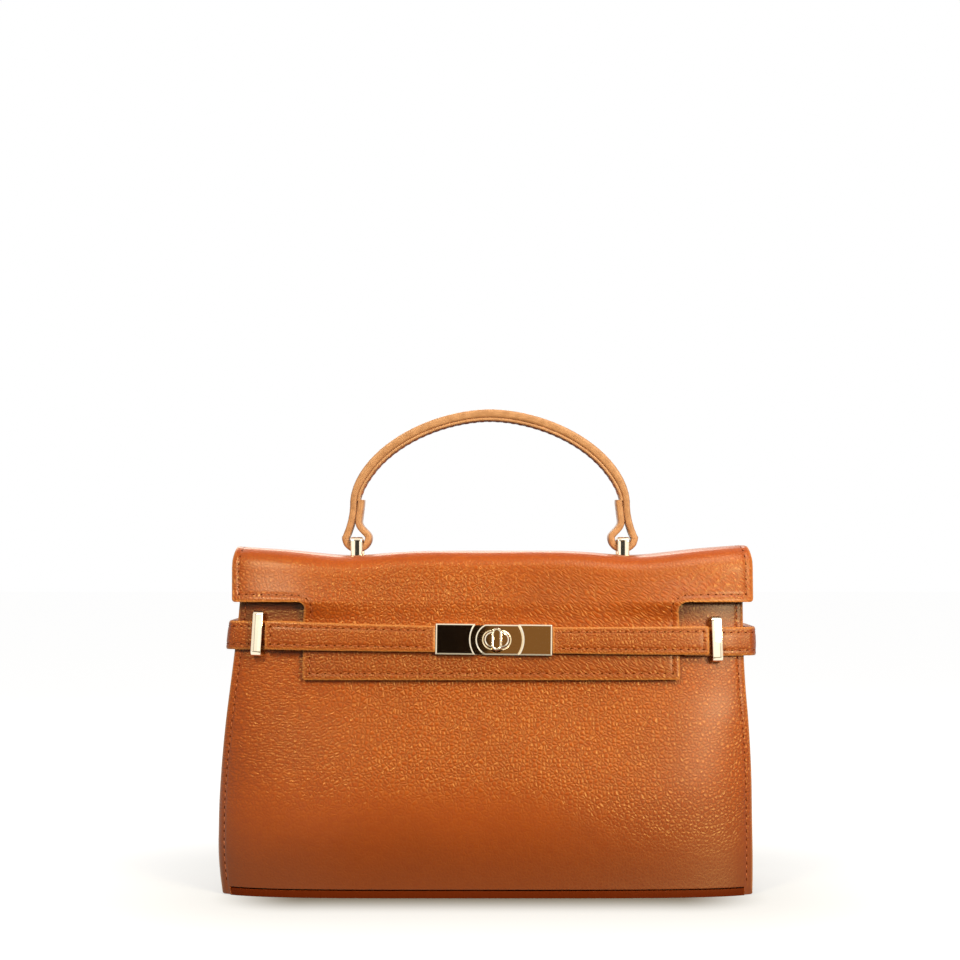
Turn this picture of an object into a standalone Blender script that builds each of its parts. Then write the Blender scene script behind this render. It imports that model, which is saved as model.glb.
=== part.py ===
"""Structured leather handbag with a turn-lock flap, at rest and closed.

Metres, +Z up. The bag stands on z = 0 and its front faces -Y.
"""

import math

import bmesh
import bpy
from mathutils import Matrix, Vector

mm = 0.001

# Body, seen from the front. Each side is widest low down, tapers towards the top
# between its two heights, and is drawn in at the foot. The left swells more.
wall_height = 165.0 * mm
front_wall_height = 161.0 * mm
wall_foot_height = 4.0 * mm
gusset_height = 159.0 * mm
base_half_depth = 53.0 * mm
top_half_depth = 27.0 * mm
left_half_width_low = 137.6 * mm
left_half_width_top = 126.8 * mm
left_taper_foot = 38.0 * mm
left_taper_head = 168.0 * mm
left_tuck = 3.2 * mm
right_half_width_low = 132.5 * mm
right_half_width_top = 128.9 * mm
right_taper_foot = 50.0 * mm
right_taper_head = 130.0 * mm
right_tuck = 0.8 * mm
tuck_height = 28.0 * mm
rounding_margin = 5.2 * mm
rounding_power = 4.5

# Leather layers. Touching layers stay one gap apart.
gap = 0.3 * mm
panel_thickness = 1.8 * mm
board_thickness = 1.5 * mm
lining_thickness = 0.8 * mm
gusset_thickness = 1.6 * mm
gusset_inset = 2.5 * mm
gusset_fold = 7.0 * mm
base_thickness = 3.6 * mm
base_inset = 0.5 * mm
pocket_thickness = 1.2 * mm
pocket_half_width = 70.0 * mm
pocket_foot_height = 55.0 * mm
pocket_top_height = 125.0 * mm

# Flap
flap_clearance = 0.5 * mm
flap_thickness = 1.6 * mm
flap_lining_thickness = 0.6 * mm
flap_half_width = 131.9 * mm
flap_shift = 1.2 * mm
flap_top_middle = 172.3 * mm
flap_end_rise = 2.6 * mm
flap_rise_power = 4
flap_dip = 2.6 * mm
flap_dip_x = 74.0 * mm
flap_dip_spread = 17.0 * mm
flap_back_radius = 8.0 * mm
flap_front_radius = 10.0 * mm
flap_front_drop = 11.0 * mm
ear_edge_height = 145.8 * mm
tongue_edge_height = 107.1 * mm
tongue_half_width = 94.9 * mm
tongue_shift = 0.6 * mm
tongue_window_length = 26.0 * mm
tongue_window_width = 14.6 * mm

# Closing straps
strap_width = 14.4 * mm
strap_tip_width = 13.1 * mm
strap_thickness = 2.6 * mm
strap_middle_height = 127.0 * mm
strap_slope = 0.012
strap_end_lift = 1.2 * mm
strap_end_inset = 4.0 * mm
side_strap_thickness = 2.4 * mm
side_strap_inner_reach = 97.0 * mm
side_strap_back_reach = 92.0 * mm
left_strap_clearance = 2.1 * mm
right_strap_clearance = 4.0 * mm
side_strap_turn = 60

# Strap loops of metal on the front panel
left_loop_inset = 12.6 * mm
right_loop_inset = 15.1 * mm
loop_rise = 0.9 * mm
loop_height = 22.9 * mm
loop_bar_width = 5.2 * mm
loop_metal = 1.4 * mm
loop_stand = 6.4 * mm
loop_foot = 5.0 * mm
loop_corner_radius = 2.4 * mm

# Turn lock and clasp plates, measured from the lock's axis
lock_x = 3.4 * mm
clasp_half_height = 7.75 * mm
clasp_left_reach = 30.7 * mm
clasp_right_reach = 27.8 * mm
clasp_thickness = 3.3 * mm
clasp_thin = 1.0 * mm
clasp_recess_radius = 13.3 * mm
clasp_tongue_radius = 8.5 * mm
clasp_tongue_centre = 2.2 * mm
clasp_tang_length = 9.0 * mm
clasp_tang_width = 9.0 * mm
clasp_tang_thickness = 0.8 * mm
clasp_bevel = 0.45 * mm
lock_foot_length = 22.0 * mm
lock_foot_width = 11.0 * mm
lock_foot_thickness = 1.7 * mm
post_length = 12.3 * mm
post_width = 7.8 * mm
post_top = 6.5 * mm
post_tail_radius = 3.0 * mm
toggle_length = 11.2 * mm
toggle_width = 5.2 * mm
toggle_thickness = 2.4 * mm
toggle_stem_radius = 1.2 * mm
slot_clearance = 0.6 * mm
lock_plate_thickness = 1.0 * mm

# Handle, seen from the front
handle_width = 14.0 * mm
handle_thickness = 3.4 * mm
handle_under_thickness = 2.3 * mm
handle_half_span = 72.4 * mm
handle_spring_height = 197.0 * mm
handle_top_height = 245.6 * mm
handle_power = 1.83
handle_fold_height = 198.7 * mm
eye_x = 68.9 * mm
eye_height = 179.3 * mm
eye_radius = 4.3 * mm
eye_throat_height = 187.5 * mm

# Handle staples
staple_width = 6.0 * mm
staple_metal = 1.8 * mm
staple_top_height = 179.4 * mm
staple_side_clearance = 1.1 * mm
staple_corner_radius = 2.2 * mm
staple_plate_length = 27.0 * mm
staple_plate_width = 12.0 * mm
staple_plate_thickness = 1.2 * mm

# Facets
panel_columns = 24
wall_row_shares = (0, 0.06, 0.13, 0.25, 0.4, 0.55, 0.7, 0.85, 1)
flap_columns = 28
arc_steps = 5
strap_columns = 8
round_steps = 28
fine_round_steps = 48
full_turn = 360
step = 0.4 * mm
sharp_angle = math.radians(35)

front = -1
back = 1
left = -1
right = 1

body_lean = (base_half_depth - top_half_depth) / wall_height
rounding_half_width = rounding_margin + max(
    left_half_width_low, left_half_width_top, right_half_width_low, right_half_width_top
)
flap_lift = flap_clearance + flap_lining_thickness + gap + flap_thickness
strap_lift = flap_lift + gap + strap_thickness
clasp_floor = flap_lift + gap
strap_hinge_lift = strap_lift
handle_pivot_height = staple_top_height - staple_metal / 2
hinge_height = wall_height + 3 * gap
wall_drop = (panel_thickness + board_thickness + lining_thickness + 2 * gap) * body_lean


def clear_scene():
    for thing in list(bpy.data.objects):
        bpy.data.objects.remove(thing)
    for group in list(bpy.data.collections):
        bpy.data.collections.remove(group)


def new_collection(name):
    group = bpy.data.collections.new(name)
    bpy.context.scene.collection.children.link(group)
    return group


def principled(name, colour, metallic, roughness):
    made = bpy.data.materials.new(name)
    made.use_nodes = True
    shader = made.node_tree.nodes["Principled BSDF"]
    shader.inputs["Base Color"].default_value = colour
    shader.inputs["Metallic"].default_value = metallic
    shader.inputs["Roughness"].default_value = roughness
    return made


def cognac_leather():
    return principled("cognac_leather", (0.47, 0.14, 0.035, 1), 0, 0.5)


def lining_leather():
    return principled("lining_leather", (0.42, 0.16, 0.06, 1), 0, 0.7)


def stiffening_board():
    return principled("stiffening_board", (0.5, 0.42, 0.33, 1), 0, 0.9)


def gold_metal():
    return principled("gold_metal", (0.83, 0.6, 0.26, 1), 1, 0.15)


def between(low, high, count):
    """Evenly spaced numbers from low to high, one more than count."""
    return [low + (high - low) * i / count for i in range(count + 1)]


def half_depth(height):
    return base_half_depth - body_lean * height


def ease(share):
    """A smooth step from 0 to 1."""
    held = min(max(share, 0), 1)
    return held * held * (3 - 2 * held)


def half_width(side, height):
    """Half of the body's width on one side at a height."""
    low = left_half_width_low if side < 0 else right_half_width_low
    top = left_half_width_top if side < 0 else right_half_width_top
    foot = left_taper_foot if side < 0 else right_taper_foot
    head = left_taper_head if side < 0 else right_taper_head
    tuck = left_tuck if side < 0 else right_tuck
    drawn_in = tuck * max(1 - height / tuck_height, 0) ** 2
    return low + (top - low) * ease((height - foot) / (head - foot)) - drawn_in


def fullness(x):
    """How much of the depth is left at x: the faces round off towards the sides."""
    share = min(abs(x) / rounding_half_width, 1)
    return (1 - share**rounding_power) ** (1 / rounding_power)


def face_point(facing, x, height):
    return Vector((x, facing * half_depth(height) * fullness(x), height))


def face_axes(facing, x, height):
    """Right, up and outward directions of the front or back face."""
    across = face_point(facing, x + step, height) - face_point(facing, x - step, height)
    rising = face_point(facing, x, height + step) - face_point(facing, x, height - step)
    out = facing * rising.cross(across).normalized()
    up = (rising - out * rising.dot(out)).normalized()
    return up.cross(out), up, out


def on_face(facing, x, height, lift):
    return face_point(facing, x, height) + lift * face_axes(facing, x, height)[2]


def frame_at(origin, along, out):
    """A matrix whose X runs along, whose Z points out, and whose Y points up."""
    z_axis = out.normalized()
    y_axis = z_axis.cross(along).normalized()
    x_axis = y_axis.cross(z_axis)
    turn = Matrix((x_axis, y_axis, z_axis)).transposed().to_4x4()
    return Matrix.Translation(origin) @ turn


def strap_middle(x):
    """Height of the strap's middle line, which sags a little between the sides."""
    end_share = x / flap_half_width
    return strap_middle_height - strap_slope * x + strap_end_lift * end_share**2


def loop_x(side):
    """Where the middle of a metal loop sits, inside the body's edge."""
    inset = left_loop_inset if side < 0 else right_loop_inset
    return side * (half_width(side, strap_middle_height) - inset)


def strap_end(side):
    return loop_x(side) - side * strap_end_inset


def strap_frame(x):
    """A frame on the front face at the strap's middle line."""
    ahead = face_point(front, x + step, strap_middle(x + step))
    behind = face_point(front, x - step, strap_middle(x - step))
    out = face_axes(front, x, strap_middle(x))[2]
    return frame_at(face_point(front, x, strap_middle(x)), ahead - behind, out)


def flap_top_height(x):
    """Height of the flap's top, which rises at its ends and dips under the handle."""
    rise = flap_end_rise * (abs(x) / flap_half_width) ** flap_rise_power
    near = [((x - side * flap_dip_x) / flap_dip_spread) ** 2 for side in (left, right)]
    return flap_top_middle + rise - flap_dip * sum(math.exp(-n / 2) for n in near)


def on_flap(x, station, lift):
    """A point of the flap's outside.

    Stations: 0 to 1 the back fold, to 2 the top, to 3 the front fold, to 4 the front.
    """
    top = flap_top_height(x)
    back_y = half_depth(hinge_height) * fullness(x)
    fold_height = top - flap_front_drop
    front_y = -half_depth(fold_height) * fullness(x) - flap_lift
    if station <= 1:
        angle = station * math.pi / 2
        y = back_y - flap_back_radius + (flap_back_radius + lift) * math.cos(angle)
        return Vector((x, y, hinge_height + (top - hinge_height + lift) * math.sin(angle)))
    if station <= 2:
        start = back_y - flap_back_radius
        end = front_y + flap_front_radius
        return Vector((x, start + (end - start) * (station - 1), top + lift))
    if station <= 3:
        angle = (station - 2) * math.pi / 2
        y = front_y + flap_front_radius - (flap_front_radius + lift) * math.sin(angle)
        return Vector((x, y, fold_height + (flap_front_drop + lift) * math.cos(angle)))
    height = fold_height + (ear_edge_height - fold_height) * (station - 3)
    return on_face(front, x, height, flap_lift + lift)


def link(name, mesh, material, group):
    """Puts a bmesh into the scene as one object."""
    data = bpy.data.meshes.new(name)
    mesh.to_mesh(data)
    mesh.free()
    made = bpy.data.objects.new(name, data)
    group.objects.link(made)
    if material:
        data.materials.append(material)
    return made


def smooth(made):
    for face in made.data.polygons:
        face.use_smooth = True
    made.data.set_sharp_from_angle(angle=sharp_angle)


def sheet(name, columns, rows, place, thickness, material, group):
    """A flat grid bent by place(column, row, lift), then thickened inwards."""
    mesh = bmesh.new()
    wide, high = len(columns) - 1, len(rows) - 1
    bmesh.ops.create_grid(mesh, x_segments=wide, y_segments=high, size=1)
    for vert in mesh.verts:
        column = columns[round((vert.co.x + 1) / 2 * wide)]
        row = rows[round((vert.co.y + 1) / 2 * high)]
        outward = place(column, row, step) - place(column, row, 0)
        vert.co = place(column, row, 0)
        vert.normal = outward.normalized()
    probe = mesh.faces[:][len(mesh.faces) // 2]
    wanted = sum((vert.normal for vert in probe.verts), Vector())
    mesh.normal_update()
    if probe.normal.dot(wanted) < 0:
        bmesh.ops.reverse_faces(mesh, faces=mesh.faces[:])
    made = link(name, mesh, material, group)
    smooth(made)
    shell = made.modifiers.new("thickness", "SOLIDIFY")
    shell.thickness = thickness
    shell.offset = -1
    shell.use_even_offset = True
    return made


def band(name, path, width, thickness, frame, material, group):
    """A strip whose outer line follows path in the frame's XZ plane, centred across Y."""

    def place(index, across, lift):
        before = Vector(path[max(index - 1, 0)])
        after = Vector(path[min(index + 1, len(path) - 1)])
        run = (after - before).normalized()
        spot = Vector(path[index]) + lift * Vector((-run.y, run.x))
        return frame @ Vector((spot.x, across, spot.y))

    columns = list(range(len(path)))
    return sheet(name, columns, [-width / 2, width / 2], place, thickness, material, group)


def arc(centre, radius, start, end, steps):
    """Points of an arc in a plane, with angles in degrees."""
    angles = [math.radians(turn) for turn in between(start, end, steps)]
    return [
        (centre[0] + radius * math.cos(a), centre[1] + radius * math.sin(a)) for a in angles
    ]


def prism(name, outline, low, high, frame, material, group):
    """An outline in the frame's XY plane, filled and extruded from low to high."""
    mesh = bmesh.new()
    corners = [mesh.verts.new((x, y, low)) for x, y in outline]
    face = bmesh.ops.contextual_create(mesh, geom=corners)["faces"][0]
    rim = bmesh.ops.extrude_face_region(mesh, geom=[face])["geom"]
    lifted = [part for part in rim if isinstance(part, bmesh.types.BMVert)]
    bmesh.ops.translate(mesh, verts=lifted, vec=(0, 0, high - low))
    bmesh.ops.transform(mesh, matrix=frame, verts=mesh.verts)
    bmesh.ops.recalc_face_normals(mesh, faces=mesh.faces)
    return link(name, mesh, material, group)


def circle(radius, steps):
    return arc((0, 0), radius, 0, full_turn, steps)[:-1]


def rectangle(left_x, right_x, half_height):
    low, high = -half_height, half_height
    return [(left_x, low), (right_x, low), (right_x, high), (left_x, high)]


def stadium(length, width):
    """A round-ended outline lying along X."""
    reach = (length - width) / 2
    half = round_steps // 2
    return arc((reach, 0), width / 2, -90, 90, half) + arc((-reach, 0), width / 2, 90, 270, half)


def turned(outline):
    return [(-y, x) for x, y in outline]


def boolean(made, other, operation):
    change = made.modifiers.new(operation.lower(), "BOOLEAN")
    change.operation = operation
    change.solver = "EXACT"
    change.object = other


def cutter(name, outline, low, high, frame, cutters):
    made = prism(name, outline, low, high, frame, None, cutters)
    made.hide_render = True
    made.display_type = "WIRE"
    return made


def round_edges(made, width, segments):
    rounding = made.modifiers.new("edges", "BEVEL")
    rounding.width = width
    rounding.segments = segments
    rounding.limit_method = "ANGLE"
    rounding.angle_limit = sharp_angle
    rounding.use_clamp_overlap = True


def pivot(name, origin, group, parent=None):
    """An empty on a joint's axis."""
    made = bpy.data.objects.new(name, None)
    made.empty_display_size = strap_width
    group.objects.link(made)
    made.location = origin - (parent.location if parent else Vector())
    made.parent = parent
    return made


def ride(pieces, hinge):
    bpy.context.view_layer.update()
    for piece in pieces:
        piece.parent = hinge
        piece.matrix_parent_inverse = hinge.matrix_world.inverted()


def wall_columns():
    """Shares of the half width, closer together where the face turns."""
    return [math.sin(turn * math.pi / 2) for turn in between(-1, 1, panel_columns)]


def wall_rows(low, high):
    return [low + (high - low) * share for share in wall_row_shares]


def face_layer(name, facing, lift, thickness, margin, low, high, material, group):
    """A layer of the front or back wall, at a lift from its outer face."""

    def place(share, height, extra):
        side = left if share < 0 else right
        x = share * (half_width(side, height) - margin)
        return on_face(facing, x, height, lift + extra)

    rows = wall_rows(low, high)
    return sheet(name, wall_columns(), rows, place, thickness, material, group)


def gusset_layer(name, side, inset, thickness, clearance, low, high, material, group):
    """A layer of a side wall. Its middle is folded inwards, most at the top."""

    def place(share, height, extra):
        edge_x = half_width(side, height) - inset
        out = face_axes(front, side * edge_x, height)[2]
        reach = abs(face_point(front, side * edge_x, height).y) - clearance / abs(out.y)
        fold = gusset_fold * (height / wall_height) ** 2 * (1 - share * share) ** 2
        return Vector((side * (edge_x - fold + extra), share * reach, height))

    rows = wall_rows(low, high)
    columns = between(-1, 1, strap_columns)
    return sheet(name, columns, rows, place, thickness, material, group)


def floor_layer(name, top, thickness, margin, material, group):
    """A level layer of the base, whose outline follows the walls' outline."""

    def place(share, depth_share, extra):
        side = left if share < 0 else right
        x = share * (half_width(side, 0) - margin)
        y = depth_share * (half_depth(0) * fullness(x) - margin)
        return Vector((x, y, top + extra))

    rows = between(-1, 1, 2)
    return sheet(name, wall_columns(), rows, place, thickness, material, group)


def build_walls(looks, bag):
    leather, lining, board = looks["leather"], looks["lining"], looks["board"]
    board_lift = -panel_thickness - gap
    lining_lift = board_lift - board_thickness - gap
    inner_margin = gusset_inset + gusset_thickness + gap + lining_thickness + gap + gap
    inner_foot = wall_foot_height + board_thickness + lining_thickness + 2 * gap + wall_drop
    walls = {}
    for facing, word, top in ((front, "front", front_wall_height), (back, "back", wall_height)):
        walls[word] = face_layer(
            f"{word}_panel", facing, 0, panel_thickness, 0,
            wall_foot_height + gap, top, leather, bag,
        )
        walls[word + "_board"] = face_layer(
            f"{word}_board", facing, board_lift, board_thickness, inner_margin,
            inner_foot, top, board, bag,
        )
        face_layer(
            f"{word}_lining", facing, lining_lift, lining_thickness, inner_margin,
            inner_foot, top, lining, bag,
        )
    lining_inset = gusset_inset + gusset_thickness + gap
    for side, word in ((left, "left"), (right, "right")):
        gusset_layer(
            f"gusset_{word}", side, gusset_inset, gusset_thickness, panel_thickness + 2 * gap,
            wall_foot_height, gusset_height, leather, bag,
        )
        gusset_layer(
            f"gusset_lining_{word}", side, lining_inset, lining_thickness,
            panel_thickness + 3 * gap, inner_foot, gusset_height, lining, bag,
        )
    return walls


def build_base(looks, bag):
    board_top = wall_foot_height + board_thickness
    lining_top = board_top + gap + lining_thickness
    inside = gusset_inset + gusset_thickness + gap + gap
    floor_layer("base_panel", base_thickness, base_thickness, base_inset, looks["leather"], bag)
    floor_layer("base_board", board_top, board_thickness, inside, looks["board"], bag)
    floor_layer("base_lining", lining_top, lining_thickness, inside, looks["lining"], bag)


def build_pocket(looks, bag):
    """A slip pocket sewn to the back lining."""
    lift = -panel_thickness - gap - board_thickness - gap - lining_thickness - gap

    def place(x, height, extra):
        return on_face(back, x, height, lift + extra)

    columns = between(-pocket_half_width, pocket_half_width, strap_columns)
    rows = between(pocket_foot_height, pocket_top_height, 2)
    sheet("slip_pocket", columns, rows, place, pocket_thickness, looks["lining"], bag)


def side_strap_route(side, height):
    """The strap's outer line at a height, from the front face round to the back."""
    lift = gap + side_strap_thickness
    edge = half_width(side, height)
    clearance = left_strap_clearance if side < 0 else right_strap_clearance
    bend = side_strap_thickness + clearance
    wall_x = edge + bend
    points = []
    for x in between(side_strap_inner_reach, edge - bend, strap_columns):
        points.append(on_face(front, side * x, height, lift).xy)
    corner_y = abs(on_face(front, side * (edge - gap), height, lift).y) - bend
    for x, y in arc((wall_x - bend, corner_y), bend, side_strap_turn, 0, arc_steps):
        points.append(Vector((side * x, -y)))
    points.append(Vector((side * wall_x, 0)))
    for x, y in arc((wall_x - bend, corner_y), bend, 0, side_strap_turn, arc_steps):
        points.append(Vector((side * x, y)))
    for x in between(edge - bend, side_strap_back_reach, strap_columns // 2):
        points.append(on_face(back, side * x, height, lift).xy)
    return points


def build_side_strap(side, word, looks, bag):
    """The strap that runs through the metal loop and round the side to the back."""

    def place(index, across, extra):
        height = strap_middle(side * flap_half_width) + across
        route = side_strap_route(side, height)
        run = route[min(index + 1, len(route) - 1)] - route[max(index - 1, 0)]
        out = Vector((run.y, -run.x)).normalized() * side
        spot = route[index] + out * extra
        return Vector((spot.x, spot.y, height))

    columns = list(range(len(side_strap_route(side, strap_middle_height))))
    rows = [-strap_width / 2, 0, strap_width / 2]
    return sheet(
        f"side_strap_{word}", columns, rows, place, side_strap_thickness, looks["leather"], bag
    )


def staple_path(half_length, floor, top, foot, corner):
    """The outer line of a staple, from one foot over the bar to the other."""
    points = []
    if foot:
        points.append((-half_length + foot, floor))
    points.append((-half_length, floor))
    points += arc((-half_length + corner, top - corner), corner, 180, 90, arc_steps)
    points += arc((half_length - corner, top - corner), corner, 90, 0, arc_steps)
    points.append((half_length, floor))
    if foot:
        points.append((half_length - foot, floor))
    return points


def build_strap_loop(side, word, walls, looks, bag, cutters):
    """A metal loop: its legs go through the panel, and its feet bend behind it."""
    frame = strap_frame(loop_x(side)) @ Matrix.Translation((0, loop_rise, 0))
    upright = frame @ Matrix.Rotation(math.pi / 2, 4, "Z")
    floor = -panel_thickness - gap - loop_metal
    path = staple_path(loop_height / 2, floor, loop_stand, loop_foot, loop_corner_radius)
    made = band(
        f"strap_loop_{word}", path, loop_bar_width, loop_metal, upright, looks["gold"], bag
    )
    for end, name in ((-1, "low"), (1, "high")):
        reach = end * (loop_height - loop_metal) / 2
        place = frame @ Matrix.Translation((0, reach, 0))
        hole = rectangle(
            -loop_bar_width / 2 - gap, loop_bar_width / 2 + gap, loop_metal / 2 + gap
        )
        leg = cutter(
            f"cut_{word}_loop_{name}", hole, -panel_thickness - gap - gap, gap + gap,
            place, cutters,
        )
        boolean(walls["front"], leg, "DIFFERENCE")
    room = rectangle(
        -loop_bar_width / 2 - gap - gap, loop_bar_width / 2 + gap + gap,
        loop_height / 2 + gap + gap,
    )
    window = cutter(
        f"cut_{word}_loop_window", room, floor - board_thickness, 0, frame, cutters
    )
    boolean(walls["front_board"], window, "DIFFERENCE")
    return made


def build_lock(walls, looks, bag, cutters):
    """The lock's foot and post, and the plate that holds them from behind."""
    frame = strap_frame(lock_x)
    gold = looks["gold"]
    tail_floor = -panel_thickness - gap - lock_plate_thickness
    foot = prism(
        "lock_base", stadium(lock_foot_length, lock_foot_width), gap,
        gap + lock_foot_thickness, frame, gold, bag,
    )
    post = cutter(
        "join_lock_post", stadium(post_length, post_width), gap + gap, post_top, frame, cutters
    )
    tail = cutter(
        "join_lock_tail", circle(post_tail_radius, round_steps), tail_floor,
        gap + gap, frame, cutters,
    )
    bore = cutter(
        "cut_lock_bore", circle(toggle_stem_radius + gap, round_steps),
        tail_floor - gap, post_top + gap, frame, cutters,
    )
    boolean(foot, post, "UNION")
    boolean(foot, tail, "UNION")
    boolean(foot, bore, "DIFFERENCE")
    hole_outline = circle(post_tail_radius + gap, round_steps)
    hole = cutter("cut_lock_hole", hole_outline, tail_floor - gap, gap + gap, frame, cutters)
    plate = prism(
        "lock_backplate", stadium(lock_foot_length, lock_foot_width), tail_floor,
        tail_floor + lock_plate_thickness, frame, gold, bag,
    )
    boolean(plate, hole, "DIFFERENCE")
    boolean(walls["front"], hole, "DIFFERENCE")
    room = stadium(lock_foot_length + 4 * gap, lock_foot_width + 4 * gap)
    window = cutter("cut_lock_window", room, tail_floor - board_thickness, 0, frame, cutters)
    boolean(walls["front_board"], window, "DIFFERENCE")


def build_toggle(looks, bag, hinge):
    frame = strap_frame(lock_x)
    low = post_top + gap
    made = prism(
        "lock_toggle", turned(stadium(toggle_length, toggle_width)), low,
        low + toggle_thickness, frame, looks["gold"], bag,
    )
    round_edges(made, clasp_bevel, 2)
    stem = prism(
        "lock_stem", circle(toggle_stem_radius, round_steps),
        -panel_thickness - gap, low - gap / 3, frame, looks["gold"], bag,
    )
    ride([made, stem], hinge)


def slot_outline_pair():
    """The clasp's slot: lying, for the post, and upright, behind the locked toggle."""
    lying = stadium(post_length + 2 * slot_clearance, post_width + 2 * slot_clearance)
    upright = turned(
        stadium(toggle_length + slot_clearance, toggle_width + slot_clearance)
    )
    return lying, upright


def build_clasp_plate(side, looks, bag, cutters):
    """A thick plate on the strap, with a thin slotted tongue over the lock."""
    frame = strap_frame(lock_x)
    word = "left" if side < 0 else "right"
    reach = clasp_left_reach if side < 0 else clasp_right_reach
    thin_floor = clasp_floor if side < 0 else clasp_floor + clasp_thin + gap
    edges = sorted((side * reach, side * clasp_recess_radius / 2))
    made = prism(
        f"clasp_plate_{word}", rectangle(edges[0], edges[1], clasp_half_height), clasp_floor,
        clasp_floor + clasp_thickness, frame, looks["gold"], bag,
    )
    recess = cutter(
        f"cut_recess_{word}", circle(clasp_recess_radius, fine_round_steps),
        clasp_floor - gap, clasp_floor + clasp_thickness + gap, frame, cutters,
    )
    boolean(made, recess, "DIFFERENCE")
    tip = clasp_recess_radius - gap if side < 0 else clasp_tongue_centre
    root = side * (clasp_recess_radius + 4 * gap)
    if side < 0:
        wide = clasp_half_height - gap
        cap = math.degrees(math.asin(wide / tip))
        outline = arc((0, 0), tip, -cap, cap, arc_steps * 2) + [(root, wide), (root, -wide)]
    else:
        wide = clasp_half_height - gap / 3
        cap = math.degrees(math.asin(wide / clasp_tongue_radius))
        curve = arc((-tip, 0), clasp_tongue_radius, 180 - cap, 180 + cap, arc_steps * 2)
        outline = curve + [(root, -wide), (root, wide)]
    tongue = cutter(
        f"join_tongue_{word}", outline, thin_floor, thin_floor + clasp_thin, frame, cutters
    )
    boolean(made, tongue, "UNION")
    middle = clasp_floor + strap_thickness / 2
    tang_ends = sorted((side * (reach - clasp_tang_length / 3), side * (reach + clasp_tang_length)))
    tang = cutter(
        f"join_tang_{word}", rectangle(tang_ends[0], tang_ends[1], clasp_tang_width / 2),
        middle - clasp_tang_thickness / 2, middle + clasp_tang_thickness / 2, frame, cutters,
    )
    boolean(made, tang, "UNION")
    for outline, kind in zip(slot_outline_pair(), ("lying", "upright")):
        slot = cutter(
            f"cut_slot_{word}_{kind}", outline, clasp_floor - gap,
            clasp_floor + clasp_thickness + gap, frame, cutters,
        )
        boolean(made, slot, "DIFFERENCE")
    return made


def build_strap(side, looks, bag, cutters, hinge):
    """A closing strap with its clasp plate, hinged beside the metal loop."""
    word = "left" if side < 0 else "right"
    outer = strap_end(side)
    reach = clasp_left_reach if side < 0 else clasp_right_reach
    inner = lock_x + side * (reach + gap)

    def place(x, across, extra):
        run_share = (x - outer) / (inner - outer)
        width = strap_width + (strap_tip_width - strap_width) * run_share
        return on_face(front, x, strap_middle(x) + across * width, strap_lift + extra)

    columns = sorted(between(outer, inner, strap_columns))
    rows = between(-1 / 2, 1 / 2, 2)
    made = sheet(
        f"strap_{word}", columns, rows, place, strap_thickness, looks["leather"], bag
    )
    middle = clasp_floor + strap_thickness / 2
    room = clasp_tang_thickness / 2 + gap
    ends = sorted((side * (reach - gap), side * (reach + clasp_tang_length + gap)))
    pocket = cutter(
        f"cut_tang_{word}", rectangle(ends[0], ends[1], clasp_tang_width / 2 + gap),
        middle - room, middle + room, strap_frame(lock_x), cutters,
    )
    boolean(made, pocket, "DIFFERENCE")
    ride([made, build_clasp_plate(side, looks, bag, cutters)], hinge)


def flap_rows():
    back_fold = between(0, 1, 3)
    top = between(1, 2, 2)[1:]
    front_fold = between(2, 3, arc_steps)[1:]
    face = between(3, 4, 2)[1:]
    return back_fold + top + front_fold + face


def flap_layer(name, depth, thickness, margin, material, group):
    """A layer of the flap's top and ears, at a depth under its outside."""
    half = flap_half_width - margin
    columns = between(flap_shift - half, flap_shift + half, flap_columns)

    def place(x, station, extra):
        return on_flap(x, station, extra - depth)

    return sheet(name, columns, flap_rows(), place, thickness, material, group)


def tongue_layer(name, depth, thickness, margin, material, group):
    """A layer of the flap's tongue, which hangs between the ears."""
    half = tongue_half_width - margin
    columns = between(tongue_shift - half, tongue_shift + half, 2 * strap_columns)
    rows = between(tongue_edge_height + margin, ear_edge_height - gap, 3)

    def place(x, height, extra):
        return on_face(front, x, height, flap_lift - depth + extra)

    return sheet(name, columns, rows, place, thickness, material, group)


def build_flap(looks, bag, cutters, hinge):
    leather, lining = looks["leather"], looks["lining"]
    depth = flap_thickness + gap
    top = flap_layer("flap_top", 0, flap_thickness, 0, leather, bag)
    top_lining = flap_layer("flap_lining", depth, flap_lining_thickness, gap, lining, bag)
    tongue = tongue_layer("flap_tongue", 0, flap_thickness, 0, leather, bag)
    tongue_lining = tongue_layer(
        "tongue_lining", depth, flap_lining_thickness, gap, lining, bag
    )
    window = cutter(
        "cut_tongue_window", stadium(tongue_window_length, tongue_window_width), -gap,
        strap_lift, strap_frame(lock_x), cutters,
    )
    boolean(tongue, window, "DIFFERENCE")
    boolean(tongue_lining, window, "DIFFERENCE")
    ride([top, top_lining, tongue, tongue_lining], hinge)
    return top, top_lining


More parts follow.
